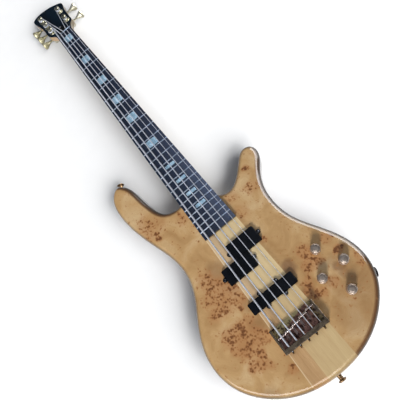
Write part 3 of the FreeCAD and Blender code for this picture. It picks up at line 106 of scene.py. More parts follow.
class Recipe:
    """The nodes of a material or of the surround, added one at a time."""

    def __init__(self, owner: Material | bpy.types.World) -> None:
        """Starts with no nodes.

        Args:
            owner: The material or the surround.
        """
        owner.use_nodes = True
        self.owner = owner
        self.tree = owner.node_tree
        self.tree.nodes.clear()

    @cached_property
    def place(self) -> Socket:
        """The place on the surface, in the shared frame."""
        return self.add("TexCoord", out="Object")

    def add(
        self,
        kind: str,
        inputs: Mapping[str | int, object] | None = None,
        stops: Sequence[tuple[float, str]] = (),
        out: str | int = 0,
        cell: float = 0.0,
        **settings: object,
    ) -> Socket:
        """Adds a node with its settings, and links or sets its inputs.

        Args:
            kind: The node's Blender type, without the ShaderNode that they all begin with.
            inputs: A value for each input by name or number; an output socket is linked.
            stops: Places and hex colours of a colour ramp.
            out: The name or number of the output that is wanted.
            cell: For a pattern on the surface, the millimetres across one cell.
            settings: Properties of the node.

        Returns:
            That output.
        """
        values = dict(inputs or {})
        if cell:
            values = {"Vector": self.place, "Scale": per_metre(cell)} | values
        node = self.tree.nodes.new(f"ShaderNode{kind}")
        for key, value in settings.items():
            setattr(node, key, value)
        for key, value in values.items():
            if isinstance(value, Socket):
                self.tree.links.new(value, node.inputs[key])
            else:
                node.inputs[key].default_value = value
        for number, (place, code) in enumerate(stops):
            if number >= len(node.color_ramp.elements):
                node.color_ramp.elements.new(place)
            node.color_ramp.elements[number].position = place
            node.color_ramp.elements[number].color = colour(code)
        return node.outputs[out]

    def layered(self, tint: Socket, layers: Iterable[tuple[Socket, Socket | str]]) -> Socket:
        """Lays colours over a first one, each by its own share.

        Args:
            tint: The colour at the bottom.
            layers: The share of each layer at each place, with its colour or hex code.

        Returns:
            The colour everywhere.
        """
        for share, over in layers:
            top = colour(over) if isinstance(over, str) else over
            inputs = {MIX_FACTOR: share, MIX_FIRST: tint, MIX_SECOND: top}
            tint = self.add("Mix", inputs, out=MIX_RESULT, data_type="RGBA")
        return tint

    def painted_edge_shade(self, share: float) -> Socket:
        """Finds where the surface turns down over a rounded edge, where painted shade goes; a steep face gets
        the full share.
        """
        facing = self.add("SeparateXYZ", {0: self.add("TexCoord", out="Normal")}, out="Z")
        return self.add("MapRange", {"Value": facing, "From Min": 0.999, "From Max": 0.74, "To Max": share})

    def close(self, shader: Socket, end: str = "ShaderNodeOutputMaterial") -> Material | bpy.types.World:
        """Links the shader to an output node of that kind and returns the finished owner."""
        self.tree.links.new(shader, self.tree.nodes.new(end).inputs["Surface"])
        return self.owner


@dataclass(frozen=True)
class GrainFinish:
    """Plain sawn wood with long fibres along the neck, under oil or lacquer.

    The fibre runs along Y. Broad growth bands, fine fibres and short dark pores each have their own width.
    """

    name: str
    pale: str
    deep: str
    pore: str
    band: float
    fibre: float
    pore_share: float
    roughness: float
    coat: float
    # Colour of the painted shade over the rounded edges
    edge: str
    stretch: float = 0.045
    shine: float = 0.5
    glue: str = ""
    front: str = ""
    pore_size: float = 0.6
    # How much of the painted edge shade a steep face takes
    edge_shade_share: float = 0.6

    @staticmethod
    def _glue_line(recipe: Recipe) -> Socket:
        """Finds the pale glue line along the neck's bass edge, on the body's face.

        Args:
            recipe: The material being made.

        Returns:
            The line's share at each place.
        """
        inward = recipe.add("VectorMath", {
            0: recipe.place, 1: (1.0, -NECK_TAPER, 0.0)}, out="Value", operation="DOT_PRODUCT")
        near = recipe.add("MapRange", {
            "Value": inward, "From Min": mm(GLUE_WIDTH - NECK_HALF),
            "From Max": mm(GLUE_WIDTH - NECK_HALF + GLUE_FADE), "To Min": 0.5, "To Max": 0.0})
        level = recipe.add("SeparateXYZ", {0: recipe.place}, out="Z")
        face = recipe.add("MapRange", {"Value": level, "From Min": mm(FACE_LOW), "From Max": mm(FACE_HIGH)})
        return recipe.add("Math", {0: near, 1: face}, operation="MULTIPLY")

    @staticmethod
    def _paler_front(recipe: Recipe) -> Socket:
        """Finds where the wood is paler, ahead of the bridge.

        Args:
            recipe: The material being made.

        Returns:
            The share of the paler colour at each place.
        """
        along = recipe.add("SeparateXYZ", {0: recipe.place}, out="Y")
        return recipe.add("MapRange", {
            "Value": along, "From Min": mm(PALER_FROM), "From Max": mm(PALER_FULL), "To Max": 0.75})

    def make(self) -> Material:
        """Makes the material: bands mixed by fibres, darker pores, a slight relief and the coat.

        Returns:
            The material.
        """
        recipe = Recipe(bpy.data.materials.new(self.name))
        along = recipe.add("Mapping", {"Vector": recipe.place, "Scale": (1.0, self.stretch, 1.0)})
        bands = recipe.add("TexNoise", {"Vector": along, "Detail": 3.0, "Distortion": 0.7}, cell=self.band)
        fibres = recipe.add("TexNoise", {"Vector": along, "Detail": 5.0, "Roughness": 0.62}, cell=self.fibre)
        pores = recipe.add("TexNoise", {"Vector": along, "Detail": 1.0}, cell=self.fibre * self.pore_size)
        mixed = recipe.add("Math", {0: bands, 1: fibres}, operation="MULTIPLY")
        wood = recipe.add("ValToRGB", {"Fac": mixed}, ((0.12, self.deep), (0.42, self.pale)))
        open_pores = recipe.add("MapRange", {
            "Value": pores, "From Min": 0.62, "From Max": 0.72, "To Max": self.pore_share})
        layers = [(open_pores, self.pore)]
        if self.front:
            layers.append((self._paler_front(recipe), self.front))
        if self.glue:
            layers.append((self._glue_line(recipe), self.glue))
        # Painted shade over the rounded edges
        layers.append((recipe.painted_edge_shade(self.edge_shade_share), self.edge))
        gloss = recipe.add("MapRange", {
            "Value": fibres, "To Min": self.roughness - 0.06, "To Max": self.roughness + 0.08})
        relief = recipe.add("Bump", {"Height": fibres, "Strength": 0.12, "Distance": mm(0.1)})
        return recipe.close(recipe.add("BsdfPrincipled", {
            "Base Color": recipe.layered(wood, layers), "Roughness": gloss, "Normal": relief,
            "Specular IOR Level": self.shine, "Coat Weight": self.coat, "Coat Roughness": 0.06}))


@dataclass(frozen=True)
class BurlPatch:
    """A patch on the top, of burl eyes or of painted shade: its middle and reach in millimetres, and how dark
    it is.
    """

    x: float
    y: float
    reach: float
    depth: float


def clusters(*rows: tuple[float, float, float, float]) -> tuple[BurlPatch, ...]:
    """Makes a cluster from each row of X, Y, reach and depth."""
    return tuple(BurlPatch(*row) for row in rows)


@dataclass(frozen=True)
class BurlFinish:
    """Burl veneer under clear gloss.

    A honey ground with patches of darker tone and painted shade, growth lines and crowds of ragged dark eyes.
    """

    name: str
    pale: str
    honey: str
    deep: str
    # Colour of the patches of darker tone and painted shade, and of the painted shade on the edges that lie
    # in shade
    tone_and_shade_umber: str
    halo: str
    blotch: str
    eye: str
    # Colour of the painted shade over the rounded edges
    edge: str
    # Patches of darker tone and of painted shade, the shadows of the pickups and knobs among them
    tone_and_shade_patches: tuple[BurlPatch, ...]
    crowds: tuple[BurlPatch, ...]
    blush: float = 0.7
    dot_weight: float = 0.36
    crowd_weight: float = 0.34
    eye_level: float = 0.54
    line_steps: float = 22.0
    line_share: float = 0.22
    core: float = 0.35
    # How much of the painted edge shade a steep face takes
    edge_shade_share: float = 0.75

    def make(self) -> Material:
        """Makes the material from a calm ground, faint growth lines, eyes in their crowds, and painted shade.

        Returns:
            The material.
        """
        recipe = Recipe(bpy.data.materials.new(self.name))
        drift = recipe.add("TexNoise", {"Detail": 3.0}, out="Color", cell=38)
        warped = recipe.add("VectorMath", {
            0: drift, 1: (mm(BURL_WARP),) * 3, 2: recipe.place}, operation="MULTIPLY_ADD")
        ground = recipe.add("TexNoise", {
            "Vector": warped, "Detail": 3.0, "Roughness": 0.55, "Distortion": 0.6}, cell=60)
        base = recipe.add("ValToRGB", {"Fac": ground}, (
            (0.32, self.deep), (0.50, self.honey), (0.66, self.pale)))
        crowd = self._spread(recipe, warped, self.crowds)
        layers = [
            (self._growth_lines(recipe, warped), self.deep),
            # Patches of darker tone and of painted shade, the shadows of pickups and knobs among them
            (self._spread(recipe, warped, self.tone_and_shade_patches), self.tone_and_shade_umber),
            (recipe.add("Math", {0: crowd, 1: self.blush}, operation="MULTIPLY"), self.halo),
            # Painted shade on the rounded edges that lie in shade
            (self._painted_side_shade(recipe), self.tone_and_shade_umber),
            *self._eyes(recipe, crowd),
            # Painted shade over the rounded edges
            (recipe.painted_edge_shade(self.edge_shade_share), self.edge),
        ]
        relief = recipe.add("Bump", {"Height": ground, "Strength": 0.08, "Distance": mm(0.2)})
        return recipe.close(recipe.add("BsdfPrincipled", {
            "Base Color": recipe.layered(base, layers), "Roughness": 0.42, "Normal": relief,
            "Specular IOR Level": 0.04, "Coat Weight": 1.0, "Coat Roughness": 0.04}))

    @staticmethod
    def _painted_side_shade(recipe: Recipe) -> Socket:
        """Finds the rounded edges that lie in shade, low on the treble side and inside the bass horn, for
        painted shade.

        Args:
            recipe: The material being made.

        Returns:
            The share of painted shade at each place.
        """
        normal = recipe.add("TexCoord", out="Normal")
        across = recipe.add("SeparateXYZ", {0: recipe.place}, out="X")
        total: Socket | float = 0.0
        for way, begin, full in PAINTED_SHADE_SIDES:
            turned = recipe.add("VectorMath", {0: normal, 1: way}, out="Value", operation="DOT_PRODUCT")
            edge = recipe.add("MapRange", {
                "Value": turned, "From Min": 0.03, "From Max": 0.26, "To Max": 0.9})
            there = recipe.add("MapRange", {"Value": across, "From Min": mm(begin), "From Max": mm(full)})
            share = recipe.add("Math", {0: edge, 1: there}, operation="MULTIPLY")
            total = recipe.add("Math", {0: total, 1: share}, operation="MAXIMUM")
        return total

    def _growth_lines(self, recipe: Recipe, warped: Socket) -> Socket:
        """Draws faint growth lines as the contours of a smooth noise.

        Args:
            recipe: The material being made.
            warped: The warped coordinates.

        Returns:
            The lines' share at each place.
        """
        field = recipe.add("TexNoise", {"Vector": warped, "Detail": 2.0, "Distortion": 1.6}, cell=60)
        steps = recipe.add("Math", {0: field, 1: self.line_steps}, operation="MULTIPLY")
        ring = recipe.add("Math", {0: steps, 1: 0.5}, operation="PINGPONG")
        return recipe.add("MapRange", {
            "Value": ring, "From Max": 0.5, "To Min": self.line_share, "To Max": 0.0})

    def _spread(self, recipe: Recipe, warped: Socket, places: Sequence[BurlPatch]) -> Socket:
        """Spreads each cluster round its middle, fading outwards.

        Args:
            recipe: The material being made.
            warped: The warped coordinates.
            places: The clusters.

        Returns:
            How strong the clusters are at each place.
        """
        total: Socket | float = 0.0
        flat = recipe.add("VectorMath", {0: warped, 1: (1.0, 1.0, 0.0)}, operation="MULTIPLY")
        for cluster in places:
            middle = (mm(cluster.x + BURL_WARP / 2), mm(cluster.y + BURL_WARP / 2), 0.0)
            away = recipe.add("VectorMath", {0: flat, 1: middle}, out="Value", operation="DISTANCE")
            fade = recipe.add("MapRange", {
                "Value": away, "From Min": mm(cluster.reach * self.core), "From Max": mm(cluster.reach),
                "To Min": cluster.depth, "To Max": 0.0}, interpolation_type="SMOOTHSTEP")
            total = recipe.add("Math", {0: total, 1: fade}, operation="MAXIMUM")
        return total

    def _eyes(self, recipe: Recipe, crowd: Socket) -> list[tuple[Socket, str]]:
        """Lets the peaks of a noise stand out as speckles of round eyes, more of them the thicker they crowd.

        Args:
            recipe: The material being made.
            crowd: How crowded each place is.

        Returns:
            The layers of halo, blotch and eye.
        """
        field = recipe.add("TexNoise", {"Detail": 1.0, "Roughness": 0.5}, cell=7)
        dots = recipe.add("TexVoronoi", out="Distance", cell=4.4)
        speckled = recipe.add("Math", {0: dots, 1: -self.dot_weight, 2: field}, operation="MULTIPLY_ADD")
        lifted = recipe.add("Math", {0: crowd, 1: self.crowd_weight, 2: speckled}, operation="MULTIPLY_ADD")
        raised = recipe.add("Math", {0: lifted, 1: self.eye_level}, operation="SUBTRACT")
        rings = ((-0.08, 0.08, 0.6, self.halo), (0.02, 0.16, 0.75, self.blotch), (0.10, 0.26, 0.8, self.eye))
        layers = []
        for start, stop, share, code in rings:
            ring = recipe.add("MapRange", {
                "Value": raised, "From Min": start, "From Max": stop, "To Max": share})
            layers.append((ring, code))
        return layers


@dataclass(frozen=True)
class MetalFinish:
    """Plated or bare metal: two tones in soft patches, fine brushing and a little unevenness in its gloss."""

    name: str
    bright: str
    dull: str
    roughness: float
    patch: float = 7.0
    brush: float = 0.25
    # Colours of the painted shade in the hollows and low down, of the low floor itself, and of dark spots of
    # painted shade in both
    hollow_shade: str = ""
    floor: str = ""
    pit_shade: str = ""
    hollow_low: float = 50.0
    hollow_high: float = 55.5
    hollow_front: float = 99.0

    def _painted_hollow_shade(self, recipe: Recipe, patches: Socket) -> list[tuple[Socket, Socket]]:
        """Paints shade on the metal low down and behind the line of the saddles, less at the bridge's treble
        end; a floor colour, where given, takes the low part in front.

        Args:
            recipe: The material being made.
            patches: The noise of the tarnish.

        Returns:
            The layers of the low floor and of the painted shade in the hollows.
        """
        fall = {"To Min": 1.0, "To Max": 0.0}
        low = recipe.add("MapRange", {
            "Value": recipe.add("SeparateXYZ", {0: recipe.place}, out="Z"),
            "From Min": mm(self.hollow_low), "From Max": mm(self.hollow_high), **fall})
        slant = recipe.add("VectorMath", {
            0: recipe.place, 1: SADDLE_SLANT}, out="Value", operation="DOT_PRODUCT")
        behind = recipe.add("MapRange", {
            "Value": slant, "From Min": mm(self.hollow_front - SLANT_FADE),
            "From Max": mm(self.hollow_front), **fall})
        inner = recipe.add("MapRange", {
            "Value": recipe.add("SeparateXYZ", {0: recipe.place}, out="X"),
            "From Min": mm(BRIDGE_END_FROM), "From Max": mm(BRIDGE_END_FULL), "To Min": 1.0, "To Max": 0.2})
        deep = recipe.add("Math", {0: low, 1: behind}, operation="MULTIPLY")
        share = recipe.add("Math", {0: deep, 1: inner}, operation="MULTIPLY")
        layers = []
        for there, code in ((low, self.floor or self.hollow_shade), (share, self.hollow_shade)):
            pocket = recipe.add("ValToRGB", {"Fac": patches}, ((0.40, self.pit_shade or code), (0.56, code)))
            layers.append((there, pocket))
        return layers

    def make(self) -> Material:
        """Makes the material from patches of tarnish and a fine brushed relief.

        Returns:
            The material.
        """
        recipe = Recipe(bpy.data.materials.new(self.name))
        patches = recipe.add("TexNoise", {"Detail": 5.0, "Roughness": 0.6}, cell=self.patch)
        tint = recipe.add("ValToRGB", {"Fac": patches}, ((0.36, self.dull), (0.60, self.bright)))
        gloss = recipe.add("MapRange", {
            "Value": patches, "From Min": 0.3, "From Max": 0.7,
            "To Min": self.roughness + 0.10, "To Max": self.roughness})
        lanes = recipe.add("Mapping", {"Vector": recipe.place, "Scale": (1.0, 0.06, 1.0)})
        brushed = recipe.add("TexNoise", {"Vector": lanes, "Detail": 2.0}, cell=self.brush)
        relief = recipe.add("Bump", {"Height": brushed, "Strength": 0.05, "Distance": mm(0.05)})
        # Painted shade in the hollows, where the finish has a colour for it
        layers = self._painted_hollow_shade(recipe, patches) if self.hollow_shade else ()
        return recipe.close(recipe.add("BsdfPrincipled", {
            "Base Color": recipe.layered(tint, layers), "Metallic": 1.0, "Roughness": gloss,
            "Normal": relief}))


@dataclass(frozen=True)
class MouldedFinish:
    """Moulded or painted surface: a base tone with slight clouding and a fine moulding texture."""

    name: str
    base: str
    cloud: str
    roughness: float
    texture: float = 0.5
    relief: float = 0.2
    shine: float = 0.5

    def make(self) -> Material:
        """Makes the material from a soft clouding and a fine pebbled relief.

        Returns:
            The material.
        """
        recipe = Recipe(bpy.data.materials.new(self.name))
        clouds = recipe.add("TexNoise", {"Detail": 5.0, "Roughness": 0.65}, cell=18)
        tint = recipe.add("ValToRGB", {"Fac": clouds}, ((0.35, self.base), (0.68, self.cloud)))
        gloss = recipe.add("MapRange", {
            "Value": clouds, "To Min": self.roughness - 0.06, "To Max": self.roughness + 0.06})
        pebbles = recipe.add("TexVoronoi", out="Distance", cell=self.texture)
        relief = recipe.add("Bump", {"Height": pebbles, "Strength": self.relief, "Distance": mm(0.05)})
        return recipe.close(recipe.add("BsdfPrincipled", {
            "Base Color": tint, "Roughness": gloss, "Normal": relief, "Specular IOR Level": self.shine}))


@dataclass(frozen=True)
class PearlFinish:
    """Mother-of-pearl: pale plates of slightly different blue, with soft wavy layers, polished flat."""

    name: str
    pale: str
    blue: str
    deep: str
    plate_weight: float = 0.35

    def make(self) -> Material:
        """Makes the material from wavy layers inside irregular plates.

        Returns:
            The material.
        """
        recipe = Recipe(bpy.data.materials.new(self.name))
        waves = recipe.add("TexNoise", {"Detail": 4.0, "Distortion": 2.2}, cell=7)
        plates = recipe.add("TexVoronoi", out="Color", cell=9)
        shade = recipe.add("Math", {0: plates, 1: self.plate_weight, 2: waves}, operation="MULTIPLY_ADD")
        tint = recipe.add("ValToRGB", {"Fac": shade}, (
            (0.40, self.deep), (0.62, self.blue), (0.86, self.pale)))
        gloss = recipe.add("MapRange", {"Value": waves, "To Min": 0.18, "To Max": 0.34})
        return recipe.close(recipe.add("BsdfPrincipled", {
            "Base Color": tint, "Roughness": gloss, "Coat Weight": 0.5, "Coat Roughness": 0.08}))


@dataclass(frozen=True)
class WoundFinish:
    """Round winding wire on a core: close ridges along Y, bright on their crowns, with painted shade between
    them.
    """

    name: str
    crown: str
    # Colour between the turns, where shade is painted
    groove_shade: str
    pitch: float
    metallic: float

    def make(self) -> Material:
        """Makes the material from a wave along the string that colours the winding, with painted shade
        between its turns, and raises it.

        Returns:
            The material.
        """
        recipe = Recipe(bpy.data.materials.new(self.name))
        # At a scale of 1, a wave texture has 10 / pi ridges in a metre
        ridges = recipe.add("TexWave", {
            "Vector": recipe.place, "Scale": per_metre(self.pitch) * math.pi / 10},
            out="Fac", bands_direction="Y")
        wear = recipe.add("TexNoise", {"Detail": 4.0}, cell=30)
        tint = recipe.add("ValToRGB", {"Fac": ridges}, ((0.10, self.groove_shade), (0.55, self.crown)))
        gloss = recipe.add("MapRange", {"Value": wear, "To Min": 0.20, "To Max": 0.42})
        relief = recipe.add("Bump", {"Height": ridges, "Strength": 0.2, "Distance": mm(0.12)})
        return recipe.close(recipe.add("BsdfPrincipled", {
            "Base Color": tint, "Metallic": self.metallic, "Roughness": gloss, "Normal": relief}))


Finish = GrainFinish | BurlFinish | MetalFinish | MouldedFinish | PearlFinish | WoundFinish

# Middle and treble side of the neck: cream wood with thin straight fibres
MAPLE_PALE = GrainFinish("maple_pale", "C8AE7E", "BA9C6C", "A5834F", 16.0, 1.3, 0.25, 0.36, 0.6, "644A2C",
                         front="DAC190")
# Bass side of the neck: the same wood, a shade browner, so that the glue line shows
MAPLE_TAN = GrainFinish("maple_tan", "C29C6B", "A67E4E", "8A6236", 12.0, 1.2, 0.35, 0.36, 0.6, "7A552F",
                        glue="E8D2AA", front="CCB088")
# Core of the wings: dark red-brown with long open pores, seen in the cutaways and round the back
CORE_WOOD = GrainFinish("mahogany_core", "7A4A2B", "4A2816", "2A150C", 9.0, 1.1, 0.6, 0.34, 1.0, "4A2C1A")
# Fretboard: near-black and dense, with a painted blue sheen in its colour, and only a hint of streaks under
# its oil
EBONY = GrainFinish("ebony", "15233C", "0A1222", "060910", 7.0, 0.9, 0.5, 0.34, 0.0, "0C1016")
# Face of the head: black lacquered veneer, near mirror-smooth
BLACK_VENEER = GrainFinish("black_lacquered_veneer", "071C2C", "04121E", "030A10", 10.0, 1.0, 0.3, 0.34, 0.05,
                           "04080E", shine=0.06)
# The two tops: honey burl with crowds of dark eyes, and patches of darker tone and painted shade
BURL = BurlFinish(
    "poplar_burl", "CBAC80", "BE9968", "A88152", "6E482C", "AA7648", "8C5C34", "62391C", "463E33",
    # Darker tone and painted shade: a darker lower treble side, and the shadows of the pickups and knobs
    tone_and_shade_patches=clusters(
        (115, -40, 60, 0.28), (92, -62, 55, 0.25), (124, 18, 28, 0.3),
        (-58, 142, 30, 0.45), (-44, 112, 34, 0.4), (-40, 62, 30, 0.35),
        (50, 62, 20, 0.7), (122, 8, 20, 0.65), (120, -6, 16, 0.5),
        (46, 12, 18, 0.45),
        (-52, 18, 24, 0.3), (-110, -84, 24, 0.35),
    ),
    crowds=clusters(
        (-84, 138, 30, 0.75), (-72, 118, 28, 0.85), (-92, 104, 30, 0.75),
        (-70, 96, 28, 0.85), (-84, 82, 30, 0.85), (-104, 78, 24, 0.75),
        (-56, 80, 24, 0.8), (-54, 104, 22, 0.8),
        (-62, 61, 10, 1.0), (-68, 128, 10, 1.05),
        (-64, 34, 18, 0.75), (-84, 26, 28, 0.85), (-110, 30, 26, 0.85),
        (-96, 4, 34, 0.85), (-70, 4, 26, 0.85), (-52, -4, 18, 0.8),
        (-38, -1, 8, 1.1), (-101, -9, 9, 1.1), (-78, -20, 14, 1.05),
        (-112, 8, 18, 0.9), (-92, -32, 22, 0.9), (-105, -30, 16, 0.9),
        (-48, -68, 14, 0.85), (-80, -42, 16, 0.7),
        (-118, 304, 30, 0.6), (-122, 286, 22, 0.65), (-98, 292, 24, 0.5),
        (-106, 280, 9, 1.05), (-110, 268, 9, 1.0), (-50, 280, 9, 1.1),
        (-46, 268, 20, 0.6),
        (112, 263, 9, 1.15), (100, 224, 22, 0.55), (54, 236, 18, 0.5),
        (50, 202, 22, 0.45), (50, 132, 12, 0.8), (143, 36, 13, 1.15),
        (136, 62, 14, 0.8), (92, 62, 22, 0.8), (82, 44, 20, 0.85),
        (100, 40, 16, 0.9), (158, 2, 12, 0.7), (152, -8, 10, 0.7),
        (92, -6, 16, 0.75), (52, 14, 18, 0.9), (58, 0, 12, 1.15),
        (70, -6, 14, 0.8), (62, 24, 16, 0.75),
    ),
)
# Position blocks: pale blue pearl
PEARL = PearlFinish("blue_pearl", "B8D4E6", "96BAD0", "789CB6")
# Fret wire: nickel silver, worn along its crown
NICKEL_SILVER = MetalFinish("nickel_silver", "B4BECC", "808994", 0.30)
# Nut: polished black bone substitute that takes a long highlight
BLACK_BONE = MouldedFinish("black_bone", "10161F", "1C2430", 0.12, relief=0.05, shine=1.0)
# Tuner keys and cases: pale olive gold plate, dulled in patches
GOLD_PLATE = MetalFinish("gold_plate", "DAD6C4", "AAA58C", 0.30)
# Keys of the bass side: the same plate with painted shade, darker and duller, as those keys lie in the shade
SHADED_PLATE = MetalFinish("shaded_plate", "B2AC90", "7C7658", 0.38)
# Posts and bushings: the same plate worn through to silver
WORN_PLATE = MetalFinish("worn_plate", "CFCBB8", "8C8870", 0.24)
# Strap buttons, their screws and the intonation screws: plate gone to brown bronze
BRONZE_PLATE = MetalFinish("bronze_plate", "967A5A", "5E4A34", 0.30)
# Bridge: satin grey bronze, with painted dark red-brown shade in its pockets
GREY_BRONZE = MetalFinish("grey_bronze", "6C6052", "423A32", 0.32, patch=8.0,
                          hollow_shade="8C6A60", floor="A89A72", pit_shade="3A2824", hollow_front=-9.0)
# Saddles: bright, with a rose cast, and painted shade low down
ROSE_BRONZE = MetalFinish("rose_bronze", "E4D6D0", "B09C94", 0.20, patch=6.0,
                          hollow_shade="9A7A70", pit_shade="2E1C18", hollow_low=52.0, hollow_high=57.2)
# Ball ends: dark brass
DARK_BRASS = MetalFinish("dark_brass", "7C6244", "4A3826", 0.34)
# Knobs: satin silver with a rose cast
ROSE_NICKEL = MetalFinish("rose_nickel", "DCCCBE", "BCAA9C", 0.48, patch=8.0)
# Small screws, potentiometers and truss rod: plain bright steel
PLAIN_STEEL = MetalFinish("plain_steel", "C9CACC", "85878A", 0.30)
# Screws of the pickups: blackened steel that only catches a glint
BLACK_STEEL = MetalFinish("black_steel", "5E6066", "2E3036", 0.24)
# Jack: black-plated metal
BLACK_PLATE = MetalFinish("black_plate", "2C2C30", "121214", 0.32)
# Pickup covers and cavity cover: moulded blue-black plastic with a fine matte skin
BLACK_MOULDING = MouldedFinish("black_moulding", "020408", "040810", 0.50, shine=0.08)
# Jack cup and truss rod cover: the same plastic, glossier
BLACK_CUP = MouldedFinish("black_cup", "060607", "0C0C0E", 0.36, shine=0.1)
# Strings: round winding, drawn coarser than the real 0.4 mm so that it shows
STRING_WINDING = WoundFinish("steel_winding", "E0E3ED", "B6BAC4", 0.8, 0.4)
# Bobbins: lacquered copper wire
COPPER_WINDING = WoundFinish("copper_winding", "8A4A26", "3C1D10", 0.6, 0.6)
# Battery: black painted can
BATTERY_PAINT = MouldedFinish("battery_paint", "1A1A1C", "2B2B2E", 0.35)
# Circuit board: green solder mask
SOLDER_MASK = MouldedFinish("solder_mask", "0E4A2A", "17603A", 0.35)
# Pickup leads: grey rubber sheath
LEAD_SHEATH = MouldedFinish("lead_sheath", "2A2B2D", "3A3B3E", 0.55)


class Paintbox:
    """Makes each finish once and puts it on pieces."""

    def __init__(self) -> None:
        """Starts with no material made."""
        self._made: dict[str, Material] = {}

    def paint(self, piece: Piece, finish: Finish) -> None:
        """Gives a piece one finish all over.

        Args:
            piece: A CAD node's object or a new piece.
            finish: The finish to make or reuse.
        """
        if finish.name not in self._made:
            self._made[finish.name] = finish.make()
        if not piece.material_slots:
            piece.data.materials.append(None)
        for slot in piece.material_slots:
            slot.material = self._made[finish.name]
        LOG.info("%s: %s, %d faces", piece.name, finish.name, len(piece.data.polygons))

    def dress(self, nodes: Mapping[str, Finish]) -> None:
        """Gives CAD nodes their finishes by name."""
        for node, finish in nodes.items():
            self.paint(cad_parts[node], finish)


# Modelling by hand

def clear_selection() -> None:
    """Deselects everything, so that the next operator acts on the new piece alone."""
    bpy.ops.object.select_all(action="DESELECT")


def pick(piece: Piece) -> None:
    """Selects one piece alone and makes it active.

    Args:
        piece: The piece.
    """
    clear_selection()
    piece.select_set(True)
    bpy.context.view_layer.objects.active = piece


def lathe(name: str, rings: Sequence[tuple[float, float]], sides: int) -> Piece:
    """Models a round piece on the Z axis by extruding a disc ring by ring.

    Args:
        name: The piece's name.
        rings: Radius and height of each ring in millimetres, from one end to the other.
        sides: How many sides the rings have.

    Returns:
        The closed piece, at the origin.
    """
    clear_selection()
    radius, height = rings[0]
    bpy.ops.mesh.primitive_circle_add(vertices=sides, radius=mm(radius), fill_type="NGON")
    piece = bpy.context.object
    piece.name = name
    bpy.ops.object.mode_set(mode="EDIT")
    bpy.ops.mesh.select_all(action="SELECT")
    bpy.ops.transform.translate(value=(0.0, 0.0, mm(height)))
    for next_radius, next_height in rings[1:]:
        rise = (0.0, 0.0, mm(next_height - height))
        bpy.ops.mesh.extrude_region_move(TRANSFORM_OT_translate={"value": rise})
        growth = next_radius / radius
        bpy.ops.transform.resize(value=(growth, growth, 1.0), center_override=(0.0, 0.0, 0.0))
        radius, height = next_radius, next_height
    bpy.ops.mesh.select_all(action="SELECT")
    bpy.ops.mesh.normals_make_consistent(inside=False)
    bpy.ops.object.mode_set(mode="OBJECT")
    return piece


def cut_away(piece: Piece, cutter: Piece) -> None:
    """Cuts one piece with another and throws the cutter away.

    Args:
        piece: The piece that stays.
        cutter: The other one.
    """
    pick(piece)
    cut = piece.modifiers.new("cut", "BOOLEAN")
    cut.operation = "DIFFERENCE"
    cut.solver = "EXACT"
    cut.object = cutter
    bpy.ops.object.modifier_apply(modifier=cut.name)
    bpy.data.objects.remove(cutter)


def soften(piece: Piece, width: float) -> None:
    """Rounds a piece's sharp edges by a small bevel and shades the rest smooth.

    Args:
        piece: The piece.
        width: The bevel's width in millimetres.
    """
    pick(piece)
    bevel = piece.modifiers.new("soften", "BEVEL")
    bevel.width = mm(width)
    bevel.segments = 2
    bevel.limit_method = "ANGLE"
    bevel.angle_limit = math.radians(BEVEL_ANGLE)
    bpy.ops.object.modifier_apply(modifier=bevel.name)
    bpy.ops.object.shade_smooth_by_angle(angle=math.radians(SMOOTH_BEVELLED))


def copy_to(piece: Piece, name: str, place: Matrix) -> Piece:
    """Copies a piece with its own mesh and leaves the copy's place in that mesh.

    Args:
        piece: The piece that is repeated.
        name: The copy's name.
        place: Where the copy goes.

    Returns:
        The copy, its object at the origin.
    """
    twin = piece.copy()
    twin.data = piece.data.copy()
    twin.name = name
    bpy.context.scene.collection.objects.link(twin)
    twin.matrix_world = place
    pick(twin)
    bpy.ops.object.transform_apply(location=True, rotation=True, scale=True)
    return twin


def join(pieces: Sequence[Piece], name: str) -> Piece:
    """Joins several pieces into one object.

    Args:
        pieces: The pieces.
        name: The object's name.

    Returns:
        The object.
    """
    clear_selection()
    for piece in pieces:
        piece.select_set(True)
    bpy.context.view_layer.objects.active = pieces[0]
    if len(pieces) > 1:
        bpy.ops.object.join()
    whole = bpy.context.view_layer.objects.active
    whole.name = name
    return whole


def stand_for(piece: Piece, node: str, body: str) -> None:
    """Puts a new piece in the place of a CAD node.

    Args:
        piece: The new piece.
        node: The CAD node.
        body: The body that the piece rides on.
    """
    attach(piece, body)
    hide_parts(node)


# Sub-assemblies

@dataclass
class SubAssembly:
    """Pieces that are built and dressed together, with the paintbox that dresses them."""

    paints: Paintbox


@dataclass
class Woodwork(SubAssembly):
    """The neck, body wings, tops, fretboard and what is let into them."""

    def dress(self) -> None:
        """Gives every wooden node, its frets and inlays their finishes."""
        self.paints.dress({
            "neck_centre_lamination": MAPLE_PALE,
            "neck_bass_lamination": MAPLE_TAN,
            "neck_treble_lamination": MAPLE_PALE,
            "headstock_face": BLACK_VENEER,
            "body_wing_bass": CORE_WOOD,
            "body_wing_treble": CORE_WOOD,
            "top_bass": BURL,
            "top_treble": BURL,
            "fretboard": EBONY,
            "frets": NICKEL_SILVER,
            "fret_inlays": PEARL,
            "nut": BLACK_BONE,
            "truss_rod": PLAIN_STEEL,
            "truss_rod_cover": BLACK_CUP,
        })


@dataclass(frozen=True)
class StringSize:
    """One string: its name, diameter, its saddle's ridge, its post's place on the head and turns round it."""

    name: str
    diameter: float
    ridge: float
    post: tuple[float, float]
    turns: float


